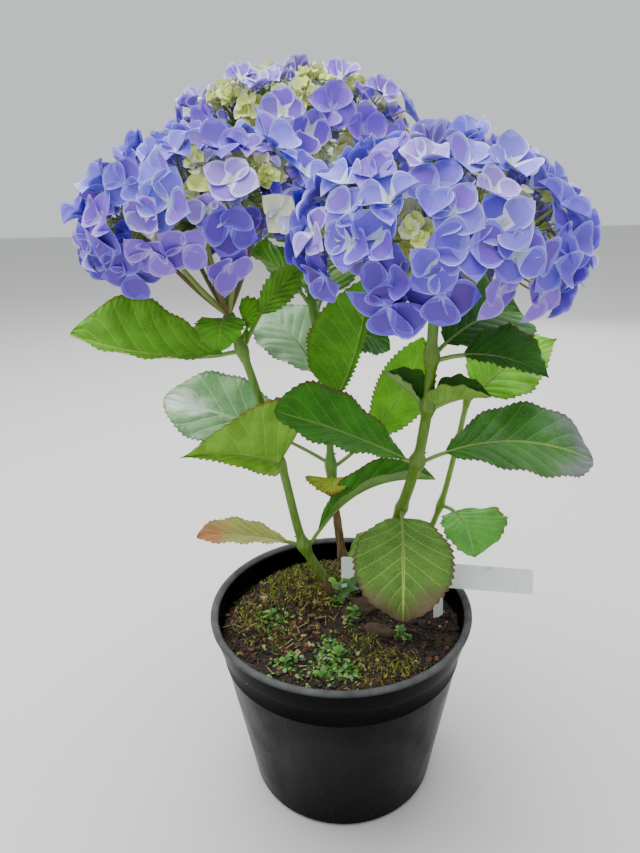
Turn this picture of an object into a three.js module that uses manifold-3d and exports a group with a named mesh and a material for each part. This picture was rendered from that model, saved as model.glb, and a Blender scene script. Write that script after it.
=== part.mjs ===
// A young mophead hydrangea in a round nursery pot: three flower heads on their stems, a fourth
// leafy shoot, broad leaves in pairs, and two blank white plant labels.
// Millimetres, +Z up. The origin is the centre of the pot's flat underside, and -Y is the front.

import * as THREE from "three";
import { mergeVertices } from "three/addons/utils/BufferGeometryUtils.js";
import Module from "manifold-3d";

const wasm = await Module();
wasm.setup();

// Driving dimensions
const CLEAR = 0.3;
const POT = {
  height: 142, rim: 95, bead: 2.2, collar: 19, collarTop: 91.4, collarLow: 90.4, step: 1.4, ledge: 1.5,
  base: 69, foot: 4, wall: 1.8, holes: 6, hole: 5, holeRing: 56, sides: 40,
};
const COLLAR_UNDER = POT.height - POT.collar;
const SOIL = { top: 122, flat: 80, edge: 119, gap: 0.8, sides: 32 };
const GROUND = SOIL.top + CLEAR;
const STEM = { sides: 8, steps: 12, flareEnds: 12 };
const BLADE = { edge: 1.3, rib: 2.2, stalk: 1.3, seat: 0.64, rows: 7, fullness: 0.58, point: 0.78 };
const FLORET = {
  petals: 4, notch: 0.66, dish: 2.5, curl: 3, back: 9, depth: 0.42, spread: 0.12, vary: 0.3, room: 1,
};
const HEAD = {
  core: 0.74, coreLift: 0.1, lowest: 112, rays: 5, ray: 2, raySpread: 0.5, knee: 0.3, kneeRise: 0.45,
};

// Two blank labels: where the face's low left corner is, its size, its slope to the right, its
// stake, and how far it leans back
const LABELS = {
  plant_label: { x: 70, y: 14, low: 144.8, length: 74, width: 19, thick: 1, slope: -5, stake: 7, lean: 14 },
  small_tag: { x: 1, y: 24, low: 146, length: 12, width: 17, thick: 1, slope: -4, stake: 4, lean: 12 },
};

// Stems: the points that each passes, from its flat cut at soil level to its tip, and its radii
const STEMS = {
  left: {
    path: [[-2, 30, GROUND], [-13, 26, 146], [-27, 23, 176], [-41, 17, 246], [-62, 9, 329], [-69, 5, 354]],
    foot: 5.2, stem: 3.6, tip: 2.6,
  },
  back: {
    path: [[8, 45, GROUND], [2, 46, 155], [-6, 51, 229], [-7, 61, 288], [-19, 72, 360], [-22, 77, 408]],
    foot: 5, stem: 3, tip: 2.5,
  },
  right: {
    path: [[31, 38, GROUND], [37, 26, 175], [46, 14, 215], [54, 2, 255], [57, -14, 300], [56, -32, 356]],
    foot: 5.6, stem: 4.1, tip: 3.2,
  },
  slim: {
    path: [[48, 48, GROUND], [66, 44, 165], [77, 40, 200], [85, 34, 247], [91, 27, 294]],
    foot: 3.2, stem: 2.4, tip: 1.8,
  },
};

// Leaves of each stem: the height that each grows from, where its point reaches, its width, how far
// it arches above a straight line, how far its far half turns up, how much it cups, and its stalk
const LEAVES = {
  left: {
    long: { at: 329, tip: [-168, -6, 346], wide: 76, arch: -4, roll: 26, cup: 34, stalk: 10 },
    bract: { at: 352, tip: [-72, -20, 336], wide: 28, arch: 8, roll: 0, cup: 8, stalk: 3 },
    small: { at: 347, tip: [-55, 9, 350], wide: 30, arch: 4, roll: 50, cup: 6, stalk: 3 },
    rising: { at: 333, tip: [-22, 38, 380], wide: 30, arch: 5, roll: 70, cup: 46, stalk: 14 },
    folded: { at: 246, tip: [-106, -12, 262], wide: 70, arch: 6, roll: 39, cup: 38, stalk: 6 },
    low: { at: 177, tip: [-103, 4, 196], wide: 40, arch: 6, roll: 6, cup: 14, stalk: 14 },
    arching: { at: 175, tip: [73, 44, 219], wide: 40, arch: 23, roll: 18, cup: 12, stalk: 36 },
  },
  back: {
    silvery: { at: 232, tip: [-132, 62, 281], wide: 72, arch: 6, roll: 28, cup: 10, stalk: 30 },
    translucent: { at: 228, tip: [62, 66, 324], wide: 56, arch: -12, roll: 70, cup: 10, stalk: 34 },
    pale: { at: 290, tip: [-58, 112, 342], wide: 62, arch: 6, roll: 24, cup: 10, stalk: 10 },
    upright: { at: 284, tip: [4, 42, 368], wide: 62, arch: -6, roll: -20, cup: 16, stalk: 8 },
    small: { at: 330, tip: [42, 76, 316], wide: 36, arch: 6, roll: 40, cup: 8, stalk: 12 },
    bronze: { at: 214, tip: [-8, 29, 242], wide: 30, arch: 3, roll: 0, cup: 6, stalk: 8 },
    foot: { at: 152, tip: [24, 24, 178], wide: 24, arch: 5, roll: 30, cup: 8, stalk: 6 },
    upper: { at: 350, tip: [-62, 52, 386], wide: 36, arch: 5, roll: 20, cup: 12, stalk: 8 },
    collar: { at: 386, tip: [-66, 96, 402], wide: 34, arch: 6, roll: 20, cup: 10, stalk: 8 },
    tuft: { at: 386, tip: [8, 52, 432], wide: 24, arch: 4, roll: 20, cup: 10, stalk: 10 },
    rear: { at: 340, tip: [10, 150, 370], wide: 58, arch: 12, roll: 0, cup: 12, stalk: 10 },
    far: { at: 366, tip: [58, 118, 398], wide: 46, arch: 8, roll: 10, cup: 12, stalk: 10 },
  },
  right: {
    left: { at: 252, tip: [-38, -14, 292], wide: 60, arch: 8, roll: 34, cup: 12, stalk: 10 },
    right: { at: 252, tip: [172, -2, 247], wide: 70, arch: 14, roll: 22, cup: 8, stalk: 16 },
    bud_left: { at: 297, tip: [28, 18, 312], wide: 20, arch: 2, roll: 20, cup: 20, stalk: 3 },
    bud_right: { at: 297, tip: [92, -34, 309], wide: 22, arch: 3, roll: 10, cup: 20, stalk: 4 },
    upper: { at: 330, tip: [120, -46, 324], wide: 46, arch: 8, roll: 30, cup: 10, stalk: 12 },
    rear: { at: 340, tip: [122, 28, 356], wide: 50, arch: 8, roll: 12, cup: 18, stalk: 12 },
    hanging: { at: 210, tip: [40, -38, 152], wide: 64, arch: 16, roll: 0, cup: 8, stalk: 6 },
  },
  slim: {
    far: { at: 288, tip: [154, 48, 328], wide: 52, arch: 4, roll: 30, cup: 8, stalk: 8 },
    drooping: { at: 200, tip: [101, -2, 181], wide: 48, arch: 12, roll: 0, cup: 8, stalk: 12 },
  },
};

// Flower heads by stem: the middle of each dome, its half-sizes, its lean to the left and to the
// front, the florets on it, their breadth, and the seed of their small differences
const HEADS = {
  right: { middle: [58, -44, 402], half: [84, 72, 54], lean: [4, 6], florets: 38, across: 40, seed: 8 },
  left: { middle: [-82, 4, 413], half: [78, 68, 50], lean: [-12, 0], florets: 36, across: 38, seed: 3 },
  back: { middle: [-26, 84, 461], half: [86, 70, 44], lean: [0, -4], florets: 38, across: 38, seed: 5 },
};

const MATERIALS = {
  pot: { color: 0x16181a, roughness: 0.42, metalness: 0 },
  soil: { color: 0x35271d, roughness: 1, metalness: 0 },
  stem: { color: 0x6f8f2f, roughness: 0.6, metalness: 0 },
  leaf: { color: 0x3f7d23, roughness: 0.5, metalness: 0 },
  flower: { color: 0x7f78cf, roughness: 0.65, metalness: 0 },
  label: { color: 0xe9ece8, roughness: 0.5, metalness: 0 },
};

const UP = new THREE.Vector3(0, 0, 1);
const CHANCES = { breadth: 500, spin: 900 };
const GOLDEN_TURN = Math.PI * (3 - Math.sqrt(5));
const { clamp, degToRad, lerp } = THREE.MathUtils;
const vector = (xyz) => new THREE.Vector3(...xyz);

// A number from 0 to 1 that is the same on each run for the same seed and place in the row
function chance(seed, place) {
  const wave = Math.sin(seed * 127.1 + place * 311.7) * 43758.5453;
  return wave - Math.floor(wave);
}

// Keeps only the places of a geometry, with shared vertices merged
function bare(geometry) {
  const plain = geometry.clone();
  plain.deleteAttribute("normal");
  plain.deleteAttribute("uv");
  return mergeVertices(plain, 1e-4);
}

// Moves each vertex of a unit cylinder or cone to place(height 0 to 1, angle, radius 0 to 1)
function shaped(geometry, place) {
  const result = bare(geometry);
  const spots = result.attributes.position;
  for (let i = 0; i < spots.count; i++) {
    const radius = Math.hypot(spots.getX(i), spots.getZ(i));
    const angle = Math.atan2(spots.getX(i), spots.getZ(i));
    const spot = place(spots.getY(i) + 0.5, angle, radius);
    spots.setXYZ(i, spot.x, spot.y, spot.z);
  }
  return result;
}

function solid(geometry) {
  const plain = bare(geometry);
  const vertProperties = new Float32Array(plain.attributes.position.array);
  const triVerts = new Uint32Array(plain.index.array);
  return new wasm.Manifold(new wasm.Mesh({ numProp: 3, vertProperties, triVerts }));
}

function fromSolid(body) {
  const cut = body.getMesh();
  const geometry = new THREE.BufferGeometry();
  geometry.setAttribute("position", new THREE.BufferAttribute(cut.vertProperties, 3));
  geometry.setIndex(new THREE.BufferAttribute(cut.triVerts, 1));
  return geometry;
}

// The largest piece of a joined body, without the scraps and sealed hollows that joining leaves
function wholeOf(body) {
  return body.decompose().sort((one, other) => other.volume() - one.volume())[0];
}

// Whether a solid meets any of the solids that are already in place
function meets(body, placed) {
  return placed.some((other) => body.intersect(other).volume() > 0);
}

// A turned shape about Z from its half section of [radius, height] points
function turned(section, sides) {
  const points = section.map(([radius, height]) => new THREE.Vector2(radius, height));
  return new THREE.LatheGeometry(points, sides).rotateX(Math.PI / 2);
}

// The radius of the pot's outside between its foot and the underside of its collar
function wallAt(height) {
  return lerp(POT.base, POT.collarLow - POT.step, (height - POT.foot) / (COLLAR_UNDER - POT.foot));
}

// Points of an arc in the half section, from its middle, its radius and the angles to pass
function arc(middle, radius, degrees) {
  return degrees.map((angle) => [
    middle[0] + radius * Math.cos(degToRad(angle)),
    middle[1] + radius * Math.sin(degToRad(angle)),
  ]);
}

function potShape() {
  const inner = POT.base - POT.wall;
  const section = [
    [0, 0], ...arc([POT.base - POT.foot, POT.foot], POT.foot, [-90, -45, 0]),
    [wallAt(COLLAR_UNDER), COLLAR_UNDER], [POT.collarLow, COLLAR_UNDER + POT.ledge],
    [POT.collarTop, POT.height - 2 * POT.bead],
    ...arc([POT.rim - POT.bead, POT.height - POT.bead], POT.bead, [-60, 0, 50, 100]),
    [POT.collarTop - POT.wall, POT.height - POT.bead / 2],
    [POT.collarLow - POT.wall, COLLAR_UNDER + POT.ledge], [wallAt(COLLAR_UNDER) - POT.wall, COLLAR_UNDER],
    [inner, POT.wall + POT.foot / 2], [inner - POT.foot, POT.wall], [0, POT.wall],
  ];
  let body = solid(turned(section, POT.sides));
  for (let i = 0; i < POT.holes; i++) {
    const turn = (i / POT.holes) * Math.PI * 2;
    const drill = new THREE.CylinderGeometry(POT.hole, POT.hole, POT.wall * 4, 12).rotateX(Math.PI / 2);
    drill.translate(Math.cos(turn) * POT.holeRing, Math.sin(turn) * POT.holeRing, 0);
    body = body.subtract(solid(drill));
  }
  return fromSolid(body);
}

// The compost follows the pot's inside and stops below the rim
function soilShape() {
  const inside = (height) => wallAt(height) - POT.wall - SOIL.gap;
  const bottom = POT.wall + CLEAR;
  const bend = POT.wall + POT.foot / 2;
  const section = [
    [0, bottom], [inside(bottom) - POT.foot, bottom], [inside(bend), bend + CLEAR],
    [inside(SOIL.edge), SOIL.edge], [SOIL.flat, SOIL.top], [0, SOIL.top],
  ];
  return turned(section, SOIL.sides);
}

function stemCurve(stem) {
  return new THREE.CatmullRomCurve3(stem.path.map(vector), false, "centripetal");
}

// The radius along a stem: a flared foot, then an even taper
function stemRadius(stem, along) {
  const flare = (stem.foot - stem.stem) * Math.exp(-along * STEM.flareEnds);
  return lerp(stem.stem, stem.tip, along) + flare;
}

// Where a stem reaches a height, found by halving, and how thick it is there
function stemAt(stem, height) {
  const curve = stemCurve(stem);
  let low = 0;
  let high = 1;
  while (high - low > 1e-4) {
    const middle = (low + high) / 2;
    if (curve.getPointAt(middle).z < height) low = middle;
    else high = middle;
  }
  return { point: curve.getPointAt(low), radius: stemRadius(stem, low) };
}

// A tapering limb along a curve, cut level at both ends
function limb(curve, radiusAt, sides, steps) {
  return shaped(new THREE.CylinderGeometry(1, 1, 1, sides, steps), (height, angle, radius) => {
    const reach = radiusAt(height) * radius;
    const spot = curve.getPointAt(height);
    return spot.add(new THREE.Vector3(Math.cos(angle) * reach, Math.sin(angle) * reach, 0));
  });
}

// The bow of a leaf from its stem to its point, and the direction across it
function leafLine(stem, leaf) {
  const from = stemAt(stem, leaf.at);
  const tip = vector(leaf.tip);
  const outward = tip.clone().sub(from.point).setZ(0).normalize();
  const root = from.point.clone().addScaledVector(outward, from.radius + CLEAR + BLADE.seat);
  const chord = tip.clone().sub(root);
  const share = leaf.stalk / chord.length();
  chord.normalize();
  const rise = UP.clone().addScaledVector(chord, -chord.z).normalize();
  const side = new THREE.Vector3().crossVectors(chord, rise);
  side.applyAxisAngle(chord, -Math.sign(side.y) * degToRad(leaf.roll));
  const top = root.clone().lerp(tip, 0.5).addScaledVector(rise, leaf.arch * 2);
  return { bow: new THREE.QuadraticBezierCurve3(root, top, tip), side, share };
}

// One leaf: its stalk runs into the blade along one bow, and each row across it has six points
function leafShape(stem, leaf) {
  const { bow, side, share } = leafLine(stem, leaf);
  const cup = degToRad(leaf.cup);
  const outline = (u) => u ** BLADE.fullness * (1 - u) ** BLADE.point;
  const widest = outline(BLADE.fullness / (BLADE.fullness + BLADE.point));
  const steps = BLADE.rows + 1;
  return shaped(new THREE.CylinderGeometry(1, 1, 1, 6, steps), (height, angle, radius) => {
    const row = Math.round(height * steps);
    const u = Math.max(0, (row - 1) / BLADE.rows);
    const along = row === 0 ? 0 : lerp(share, 1, u);
    const half = Math.max(BLADE.stalk, (leaf.wide / 2) * outline(clamp(u, 0, 1)) / widest);
    const across = Math.sign(Math.round(Math.sin(angle) * 10)) * radius;
    const above = Math.sign(Math.cos(angle)) * radius;
    const inBlade = row > 1 && row < steps;
    const thick = (across === 0 ? BLADE.rib : inBlade ? BLADE.edge : BLADE.stalk) / 2;
    const bend = row > 0 ? cup : 0;
    const tangent = bow.getTangent(along);
    const flat = side.clone().addScaledVector(tangent, -side.dot(tangent)).normalize();
    const face = new THREE.Vector3().crossVectors(flat, tangent);
    return bow.getPoint(along)
      .addScaledVector(flat, across * half * Math.cos(bend))
      .addScaledVector(face, Math.abs(across) * half * Math.sin(bend) + above * thick);
  });
}

// One floret: a dished star of four petals, drawn to a point on its stalk behind
function floretShape(spot, out, spin, across, back) {
  const level = Math.abs(out.z) > 0.9 ? new THREE.Vector3(1, 0, 0) : UP;
  const side = new THREE.Vector3().crossVectors(out, level).normalize().applyAxisAngle(out, spin);
  const other = new THREE.Vector3().crossVectors(side, out);
  return shaped(new THREE.ConeGeometry(1, 1, FLORET.petals * 2, 1), (height, angle, radius) => {
    if (radius < 0.5) return spot.clone().addScaledVector(out, height > 0.5 ? -back : -FLORET.dish);
    const petal = Math.round((angle / Math.PI) * FLORET.petals) % 2 === 0;
    const reach = (across / 2) * (petal ? 1 : FLORET.notch);
    return spot.clone()
      .addScaledVector(side, Math.cos(angle) * reach)
      .addScaledVector(other, Math.sin(angle) * reach)
      .addScaledVector(out, petal ? -FLORET.curl : 0);
  });
}

// One head: rays from the stem's tip, a smaller core, and the florets that stand out of it, less
// those that would meet what is already in place
function headShape(stem, head, placed) {
  const middle = vector(head.middle);
  const half = vector(head.half);
  const tip = stem.path.at(-1);
  const start = vector(tip).setZ(tip[2] + CLEAR);
  const lean = new THREE.Euler(degToRad(head.lean[1]), degToRad(head.lean[0]), 0);
  const core = new THREE.SphereGeometry(1, 12, 8).rotateX(Math.PI / 2)
    .scale(...head.half.map((size) => size * HEAD.core))
    .applyMatrix4(new THREE.Matrix4().makeRotationFromEuler(lean))
    .translate(middle.x, middle.y, middle.z + half.z * HEAD.coreLift);
  let body = solid(core);

  for (let i = 0; i < HEAD.rays; i++) {
    const turn = (i / HEAD.rays) * Math.PI * 2 + head.seed;
    const end = new THREE.Vector3(Math.cos(turn) * half.x, Math.sin(turn) * half.y, 0)
      .multiplyScalar(HEAD.raySpread).applyEuler(lean).add(middle);
    const knee = start.clone().lerp(end, HEAD.knee).setZ(lerp(start.z, end.z, HEAD.kneeRise));
    const ray = new THREE.QuadraticBezierCurve3(start, knee, end);
    body = body.add(solid(limb(ray, () => HEAD.ray, 4, 3)));
  }

  const lowest = Math.cos(degToRad(HEAD.lowest));
  for (let i = 0; i < head.florets; i++) {
    const level = lerp(1, lowest, (i + 0.5) / head.florets);
    const ring = Math.sqrt(1 - level * level);
    const ray = new THREE.Vector3(Math.cos(i * GOLDEN_TURN) * ring, Math.sin(i * GOLDEN_TURN) * ring, level);
    const reach = 1 - FLORET.spread * chance(head.seed, i);
    const spot = ray.clone().multiply(half).multiplyScalar(reach).applyEuler(lean).add(middle);
    const out = ray.clone().divide(half).applyEuler(lean).normalize();
    const across = head.across * (1 + FLORET.vary * (chance(head.seed, i + CHANCES.breadth) - 0.5));
    const spin = chance(head.seed, i + CHANCES.spin) * Math.PI;
    const back = Math.max(FLORET.back, spot.clone().sub(middle).dot(out) * FLORET.depth);
    const room = solid(floretShape(spot, out, spin, across + FLORET.room * 2, back));
    if (!meets(room, placed)) body = body.add(solid(floretShape(spot, out, spin, across, back)));
  }
  return fromSolid(wholeOf(body));
}

// A blank label on its own stake, leaning back, with the stake's end on the soil
function labelShape(label) {
  const drop = (GROUND - label.low) / Math.cos(degToRad(label.lean));
  const fall = Math.tan(degToRad(label.slope));
  const outline = new THREE.Shape();
  outline.moveTo(0, drop);
  outline.lineTo(label.stake, drop);
  outline.lineTo(label.stake, fall * label.stake);
  outline.lineTo(label.length, fall * label.length);
  outline.lineTo(label.length, fall * label.length + label.width);
  outline.lineTo(0, label.width);
  outline.closePath();
  return new THREE.ExtrudeGeometry(outline, { depth: label.thick, bevelEnabled: false })
    .rotateX(Math.PI / 2 - degToRad(label.lean))
    .translate(label.x, label.y, label.low);
}

const group = new THREE.Group();

function add(name, geometry, material) {
  const mesh = new THREE.Mesh(geometry, new THREE.MeshStandardMaterial(MATERIALS[material]));
  mesh.name = name;
  group.add(mesh);
}

add("pot", potShape(), "pot");
add("soil", soilShape(), "soil");
for (const [name, stem] of Object.entries(STEMS)) {
  const radiusAt = (along) => stemRadius(stem, along);
  add(`stem_${name}`, limb(stemCurve(stem), radiusAt, STEM.sides, STEM.steps), "stem");
}
for (const [stem, leaves] of Object.entries(LEAVES)) {
  for (const [name, leaf] of Object.entries(leaves)) {
    add(`leaf_${stem}_${name}`, leafShape(STEMS[stem], leaf), "leaf");
  }
}
for (const [name, label] of Object.entries(LABELS)) add(name, labelShape(label), "label");

// The heads come last, and each keeps clear of the stems, the leaves and the heads before it
const placed = group.children
  .filter((mesh) => /^(stem|leaf)/.test(mesh.name))
  .map((mesh) => solid(mesh.geometry));
for (const [stem, head] of Object.entries(HEADS)) {
  const geometry = headShape(STEMS[stem], head, placed);
  placed.push(solid(geometry));
  add(`flower_head_${stem}`, geometry, "flower");
}

export default group;
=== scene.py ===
"""A young mophead hydrangea in a black nursery pot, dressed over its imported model.

Lengths are in millimetres until a shape is finished, and its mesh is then in metres. +Z is up, and
-Y is the front. The stems, leaves and heads follow the same rules and values as the solids.
"""

from __future__ import annotations

import bisect
import logging
import math
import random
from collections.abc import Callable, Iterable
from dataclasses import dataclass, field
from enum import Enum
from functools import cache

import bmesh
import bpy
from mathutils import Euler, Matrix, Vector, noise

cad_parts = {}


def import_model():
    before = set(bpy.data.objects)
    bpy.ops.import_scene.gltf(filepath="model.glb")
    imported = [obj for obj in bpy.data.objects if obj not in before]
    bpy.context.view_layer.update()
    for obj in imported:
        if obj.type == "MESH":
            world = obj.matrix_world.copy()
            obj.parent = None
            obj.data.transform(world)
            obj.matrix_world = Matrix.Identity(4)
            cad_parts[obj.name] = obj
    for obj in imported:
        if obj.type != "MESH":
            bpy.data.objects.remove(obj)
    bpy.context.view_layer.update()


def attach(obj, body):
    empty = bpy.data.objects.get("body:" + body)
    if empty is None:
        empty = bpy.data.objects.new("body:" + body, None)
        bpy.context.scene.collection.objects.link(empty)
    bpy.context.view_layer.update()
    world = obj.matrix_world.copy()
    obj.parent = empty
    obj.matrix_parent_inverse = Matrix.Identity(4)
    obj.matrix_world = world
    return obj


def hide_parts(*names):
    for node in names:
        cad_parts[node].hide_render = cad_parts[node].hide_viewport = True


MM = 0.001
BODY = "root"
CLEAR = 0.3
COMPOST_TOP = 122.0
GROUND = COMPOST_TOP + CLEAR
UP = Vector((0.0, 0.0, 1.0))
GOLDEN_TURN = math.pi * (3 - math.sqrt(5))
BAKE_MAP = "OFBake"
BLADE_MAP = "Blade"

Rgb = tuple[int, int, int]
Triple = tuple[float, float, float]
Patch = tuple[float, float, float, float]
WHOLE: Patch = (0.0, 0.0, 1.0, 1.0)
VEIN_SLANT = 0.4
VEIN_BOW = 0.1
log = logging.getLogger("hydrangea")


def lerp(start: float, end: float, share: float) -> float:
    """Returns the value that lies a share of the way from start to end."""
    return start + (end - start) * share


def smooth(value: float, low: float, high: float) -> float:
    """Returns 0 below low, 1 above high, and an even curve between them."""
    share = min(1.0, max(0.0, (value - low) / (high - low)))
    return share * share * (3 - 2 * share)


def linear(color: Rgb) -> tuple[float, float, float, float]:
    """Turns a screen colour into the linear colour that a shader takes.

    Args:
        color: Red, green and blue from 0 to 255.

    Returns:
        The linear colour with a full alpha.
    """
    parts = [part / 255 for part in color]
    return (*[p / 12.92 if p < 0.04045 else ((p + 0.055) / 1.055) ** 2.4 for p in parts], 1.0)


def polar(turn: float, reach: float, height: float = 0.0) -> Vector:
    """Returns the place at a turn round the upright, so far out and so high."""
    return Vector((math.cos(turn) * reach, math.sin(turn) * reach, height))


def aimed(place: Vector, out: Vector, own: str = "Z") -> Matrix:
    """Returns the matrix of a thing at a place whose own axis looks out."""
    return Matrix.Translation(place) @ out.to_track_quat(own, "Y").to_matrix().to_4x4()


def linked(name: str, data: bpy.types.ID) -> bpy.types.Object:
    """Makes an object of its data and links it to the scene."""
    made = bpy.data.objects.new(name, data)
    bpy.context.collection.objects.link(made)
    return made


def faces_of(made: dict) -> set[bmesh.types.BMFace]:
    """Returns the faces round the points that an operator has made."""
    return {face for vert in made["verts"] for face in vert.link_faces}


class Value:
    """A shader socket that takes part in sums."""

    def __init__(self, paint: Paint, socket: bpy.types.NodeSocket) -> None:
        """Keeps the socket and the paint that it belongs to."""
        self.paint = paint
        self.socket = socket

    def __add__(self, other: Value | float) -> Value:
        """Adds a value or a number."""
        return self.paint.math("ADD", self, other)

    def __sub__(self, other: Value | float) -> Value:
        """Takes a value or a number away."""
        return self.paint.math("SUBTRACT", self, other)

    def __rsub__(self, other: float) -> Value:
        """Takes this value away from a number."""
        return self.paint.math("SUBTRACT", other, self)

    def __mul__(self, other: Value | float) -> Value:
        """Multiplies by a value or a number."""
        return self.paint.math("MULTIPLY", self, other)


class Paint:
    """One material, written as sums of its sockets."""

    def __init__(self, name: str, color: Rgb, roughness: float) -> None:
        """Makes a plain material.

        Args:
            name: The material's name.
            color: Its base colour.
            roughness: Its roughness.
        """
        self.material = bpy.data.materials.new(name)
        self.material.use_nodes = True
        self.tree = self.material.node_tree
        self.shader = next(node for node in self.tree.nodes if node.type == "BSDF_PRINCIPLED")
        self.set("Base Color", linear(color))
        self.set("Roughness", roughness)

    def set(self, name: str, value: Value | float | tuple[float, ...]) -> None:
        """Sets or links one of the shader's own sockets."""
        self.feed(self.shader.inputs[name], value)

    def feed(self, socket: bpy.types.NodeSocket, value: Value | float | tuple[float, ...]) -> None:
        """Links a value to a socket, or sets its number or colour."""
        if isinstance(value, Value):
            self.tree.links.new(value.socket, socket)
        else:
            socket.default_value = value

    def node(self, kind: str, settings: dict | None = None, inputs: dict | None = None,
             output: int = 0) -> Value:
        """Adds any node.

        Args:
            kind: The node's type.
            settings: Its own settings, set first.
            inputs: Values, numbers or colours by the socket's number or name.
            output: The number of the output to return.

        Returns:
            That output as a value.
        """
        node = self.tree.nodes.new(kind)
        for key, setting in (settings or {}).items():
            setattr(node, key, setting)
        for key, value in (inputs or {}).items():
            self.feed(node.inputs[key], value)
        return Value(self, node.outputs[output])

    def math(self, operation: str, *values: Value | float) -> Value:
        """Adds a Math node for an operation on up to three values."""
        return self.node("ShaderNodeMath", {"operation": operation}, dict(enumerate(values)))

    def mix(self, factor: Value | float, low: Value | Rgb, high: Value | Rgb) -> Value:
        """Mixes two colours by a factor."""
        low, high = (color if isinstance(color, Value) else linear(color) for color in (low, high))
        return self.node("ShaderNodeMix", {"data_type": "RGBA"}, {0: factor, 6: low, 7: high}, 2)

    def part(self, vector: Value, axis: int) -> Value:
        """Returns a vector's part along its first, second or third axis, counted from 0."""
        return self.node("ShaderNodeSeparateXYZ", {}, {0: vector}, axis)

    def place(self) -> Value:
        """Returns the place on the object, in its own frame."""
        return self.node("ShaderNodeTexCoord", output=3)

    def stretched(self, scale: Triple) -> Value:
        """Returns the place on the object, stretched along its axes."""
        return self.node("ShaderNodeMapping", {}, {"Vector": self.place(), "Scale": scale})

    def cloud(self, size: float, detail: float = 3.0, vector: Value | None = None) -> Value:
        """Returns soft noise whose marks are about size millimetres across."""
        inputs = {"Vector": vector or self.place(), "Scale": 1 / (size * MM), "Detail": detail}
        return self.node("ShaderNodeTexNoise", {}, inputs)

    def cells(self, size: float) -> Value:
        """Returns how far the nearest edge of a net of cells is."""
        inputs = {"Vector": self.place(), "Scale": 1 / (size * MM)}
        return self.node("ShaderNodeTexVoronoi", {"feature": "DISTANCE_TO_EDGE"}, inputs)

    def step(self, value: Value, low: float, high: float) -> Value:
        """Returns a smooth step of a value from low to high, which may run downwards."""
        settings = {"interpolation_type": "SMOOTHSTEP"}
        return self.node("ShaderNodeMapRange", settings, {0: value, 1: low, 2: high})

    def bump(self, height: Value, depth: float, strength: float = 1.0) -> None:
        """Raises the surface by a height of depth millimetres."""
        inputs = {"Height": height, "Distance": depth * MM, "Strength": strength}
        self.set("Normal", self.node("ShaderNodeBump", {}, inputs))


@dataclass(frozen=True)
class PlainFinish:
    """A finish of one colour, for small pieces that are joined in sprays."""

    name: str
    color: Rgb
    roughness: float = 0.6

    @cache
    def material(self) -> bpy.types.Material:
        """Makes the material."""
        return Paint(self.name, self.color, self.roughness).material


def plains(name: str, colors: Iterable[Rgb], roughness: float) -> list[bpy.types.Material]:
    """Makes a plain material of each colour."""
    return [PlainFinish(f"{name}_{i}", color, roughness).material() for i, color in enumerate(colors)]


@dataclass(frozen=True)
class PotFinish:
    """Black moulded plastic with dust, fine scuffs, a slight sheen, and a painted highlight along the top
    of the rim.
    """

    black: Rgb = (2, 3, 3)
    dust: Rgb = (78, 74, 60)
    painted_rim_highlight: Rgb = (150, 154, 154)
    roughness: float = 0.28
    mirror: float = 0.04
    painted_highlight_from: float = 137.5
    painted_highlight_over: float = 4.0
    streak: Triple = (1.0, 1.0, 0.14)
    scuff: Triple = (1.0, 1.0, 0.05)

    @cache
    def material(self) -> bpy.types.Material:
        """Makes the material."""
        paint = Paint("black_plastic", self.black, self.roughness)
        streaks = paint.cloud(9.0, 5.0, paint.stretched(self.streak))
        specks = paint.step(paint.cloud(2.2, 2.0), 0.66, 0.76)
        film = paint.step(paint.cloud(34.0, 4.0), 0.42, 0.78)
        scuffs = paint.step(paint.cloud(3.0, 2.0, paint.stretched(self.scuff)), 0.7, 0.8)
        dust = paint.math("MINIMUM", specks * 0.3 + film * 0.03 + scuffs * 0.12, 1.0)
        # A pale band round the top of the rim's bead is a painted highlight, standing in for the sky's
        # reflection on it.
        painted_rim_highlight = paint.step(paint.part(paint.place(), 2), self.painted_highlight_from * MM,
                          (self.painted_highlight_from + self.painted_highlight_over) * MM) * (streaks * 0.4 + 0.1)
        color = paint.mix(dust, self.black, self.dust)
        paint.set("Base Color", paint.mix(painted_rim_highlight, color, self.painted_rim_highlight))
        paint.set("Specular IOR Level", self.mirror)
        paint.set("Roughness", streaks * 0.16 + film * 0.14 + (self.roughness - 0.1))
        paint.bump(paint.cloud(0.9, 3.0) * 0.4 + streaks * 0.3, 0.08, 0.4)
        return paint.material


@dataclass(frozen=True)
class CompostFinish:
    """Dark fibrous compost with lighter crumbs and a green bloom in places."""

    dark: Rgb = (26, 18, 16)
    crumb: Rgb = (90, 64, 52)
    bloom: Rgb = (74, 82, 34)

    @cache
    def material(self) -> bpy.types.Material:
        """Makes the material."""
        paint = Paint("compost", self.dark, 0.92)
        grain = paint.cloud(1.6, 5.0)
        patch = paint.step(paint.cloud(22.0, 3.0), 0.5, 0.68)
        color = paint.mix(paint.step(grain, 0.42, 0.72), self.dark, self.crumb)
        paint.set("Base Color", paint.mix(patch * 0.45, color, self.bloom))
        paint.bump(grain + paint.cloud(0.6, 3.0) * 0.5, 1.6, 0.9)
        return paint.material


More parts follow.
